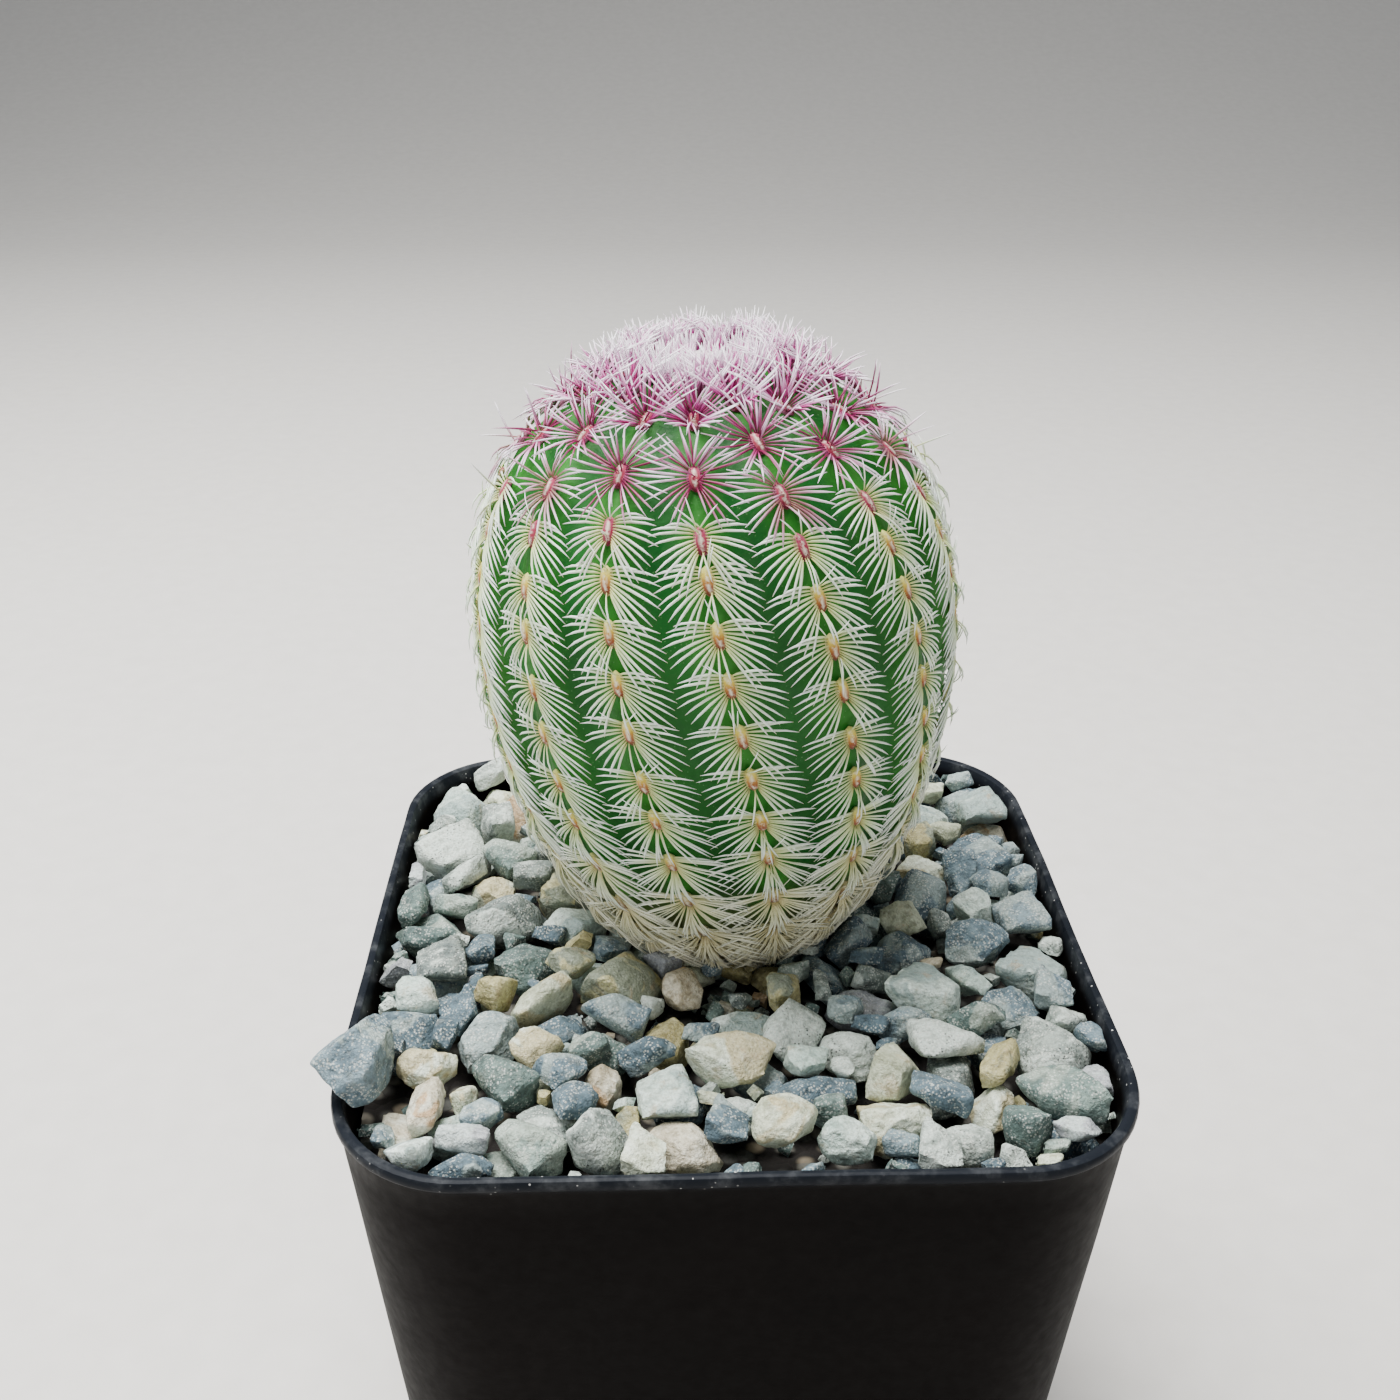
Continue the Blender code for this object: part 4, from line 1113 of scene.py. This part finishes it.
def starting_heights():
    """What the loose stones fall on, and how high they may reach under the plant."""
    ground = np.full((CELLS, CELLS), np.inf)
    ceiling = np.full((CELLS, CELLS), np.inf)
    names = ["gravel_bed"] + [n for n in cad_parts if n.startswith("stone_")]
    trees = [(tree_of(name), *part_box(name)) for name in names]
    stem = tree_of("cactus_stem")
    for i in range(CELLS):
        for j in range(CELLS):
            x, y = (i + 0.5) * GRID - HALF, (j + 0.5) * GRID - HALF
            if not inside_wall(x, y):
                continue
            best = -1
            for tree, low, high in trees:
                if low[0] <= x <= high[0] and low[1] <= y <= high[1]:
                    hit = tree.ray_cast(Vector((x, y, 1)), -UP)[0]
                    if hit:
                        best = max(best, hit.z)
            ground[i, j] = best if best > 0 else POT_HEIGHT - BED_DEPTH
            if math.hypot(x - PLANT_AT.x, y - PLANT_AT.y) < PLANT_REACH:
                hit = stem.ray_cast(Vector((x, y, 55 * MM)), UP)[0]
                if hit:
                    ceiling[i, j] = hit.z - PLANT_CLEARANCE
            for hollow_x, hollow_y in HOLLOWS:
                if math.hypot(x - hollow_x, y - hollow_y) < HOLLOW_RADIUS:
                    ceiling[i, j] = POT_HEIGHT - HOLLOW_DEPTH
    return ground, ceiling


LOOSE_KINDS = ("slate", "green_grey", "white", "cream", "speckled", "peach", "lilac", "ochre")
LOOSE_SHARES = (30, 19, 11, 11, 18, 4, 2, 5)
LOOSE_BATCHES = (
    # longest and shortest in mm, how many to try, blanks, cuts, grained, highest top over the rim in mm
    (6.6, 5.2, 240, 14, 9, True, 1.6),
    (5.0, 3.8, 420, 14, 9, True, 1.2),
    (3.7, 2.7, 420, 12, 9, True, 0.4),
    (2.6, 1.8, 320, 8, 8, True, -0.3),
    (1.6, 0.9, 420, 8, 5, False, -0.8),
)
LOOSE_PLACES = 90  # tried for each loose stone, of which it takes the lowest


def loose_shapes(rng, batch):
    """Each blank of a batch lying six ways, as (bmesh, lowest points, highest points)."""
    longest, shortest, _, blanks, cuts, grained, _ = LOOSE_BATCHES[batch]
    shapes = []
    for b in range(blanks):
        size = longest + (shortest - longest) * b / (blanks - 1)
        blank = broken_blank(rng, cuts)
        bmesh.ops.scale(blank, verts=blank.verts, vec=(size * MM,) * 3)
        mesh = mesh_of(blank, "blank")
        if grained:
            mesh = roughen(mesh, size * 0.072 * MM, CHIP_COARSE[1], CHIP_FINE[1], b * 0.071 + batch)
        for _ in range(6):
            turned = bmesh.new()
            turned.from_mesh(mesh)
            lie = Euler((rng.gauss(0, 0.5), rng.gauss(0, 0.5), rng.uniform(0, math.tau)))
            bmesh.ops.rotate(turned, verts=turned.verts, cent=(0, 0, 0), matrix=lie.to_matrix())
            steps = math.ceil(size * 1.25 * MM / GRID) + 2
            shapes.append((turned, *height_maps(turned, steps)))
    return shapes


def lowest_place(rng, ground, ceiling, low, high):
    """The lowest of some random places where a stone fits, as (its height, row, column)."""
    steps = low.shape[0]
    solid = np.isfinite(low)
    best = None
    for _ in range(LOOSE_PLACES):
        i, j = rng.randrange(CELLS - steps), rng.randrange(CELLS - steps)
        under = ground[i : i + steps, j : j + steps]
        rest = np.max(np.where(solid, under - low, -np.inf))
        if not np.isfinite(rest) or (best and rest >= best[0]):
            continue
        if not np.any(np.where(solid, rest + high > ceiling[i : i + steps, j : j + steps], False)):
            best = (rest, i, j)
    return best


def make_loose_stones(finishes):
    """Stones and grit that fill the gaps between the lead stones, dropped in one by one."""
    rng = rng_for("loose stones")
    ground, ceiling = starting_heights()
    placed = {kind: [] for kind in LOOSE_KINDS}
    for batch, (_, _, count, _, _, _, top_limit) in enumerate(LOOSE_BATCHES):
        shapes = loose_shapes(rng, batch)
        for _ in range(count):
            shape, low, high = rng.choice(shapes)
            steps = low.shape[0]
            solid = np.isfinite(low)
            best = lowest_place(rng, ground, ceiling, low, high)
            if not best or best[0] + high[solid].max() > POT_HEIGHT + top_limit * MM:
                continue
            rest, i, j = best
            rest += 0.04 * MM
            at = Vector(((i + steps / 2) * GRID - HALF, (j + steps / 2) * GRID - HALF, rest))
            patch = ground[i : i + steps, j : j + steps]
            patch[solid] = np.maximum(patch[solid], rest + high[solid])
            kind = rng.choices(LOOSE_KINDS, LOOSE_SHARES)[0]
            placed[kind].append((shape, at, rng.random()))
    for kind, stones in placed.items():
        bm = bmesh.new()
        tone = []
        for shape, at, own_tone in stones:
            lump = bpy.data.meshes.new("lump")
            shape.to_mesh(lump)
            first = len(bm.verts)
            bm.from_mesh(lump)
            bpy.data.meshes.remove(lump)
            bm.verts.ensure_lookup_table()
            bmesh.ops.translate(bm, verts=bm.verts[first:], vec=at)
            tone += [own_tone] * (len(bm.verts) - first)
        made = finished(f"loose_{kind}_stones", bm, finishes[kind], (), STONE_EDGE)
        add_values(made.data, "tone", tone)


def finish_fill():
    for node, material in (("soil_mix", potting_soil()), ("gravel_bed", grit_bed())):
        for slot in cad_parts[node].material_slots:
            slot.material = material


make_camera()
light_studio()
make_floor()
make_pot()
make_stem()
horn, felt = spine_horn(), areole_felt()
make_rib_spines(horn, felt)
make_crown(horn)
stone_finishes = {kind: stone_finish(kind) for kind in STONE_TONES}
make_lead_stones(stone_finishes)
make_loose_stones(stone_finishes)
finish_fill()
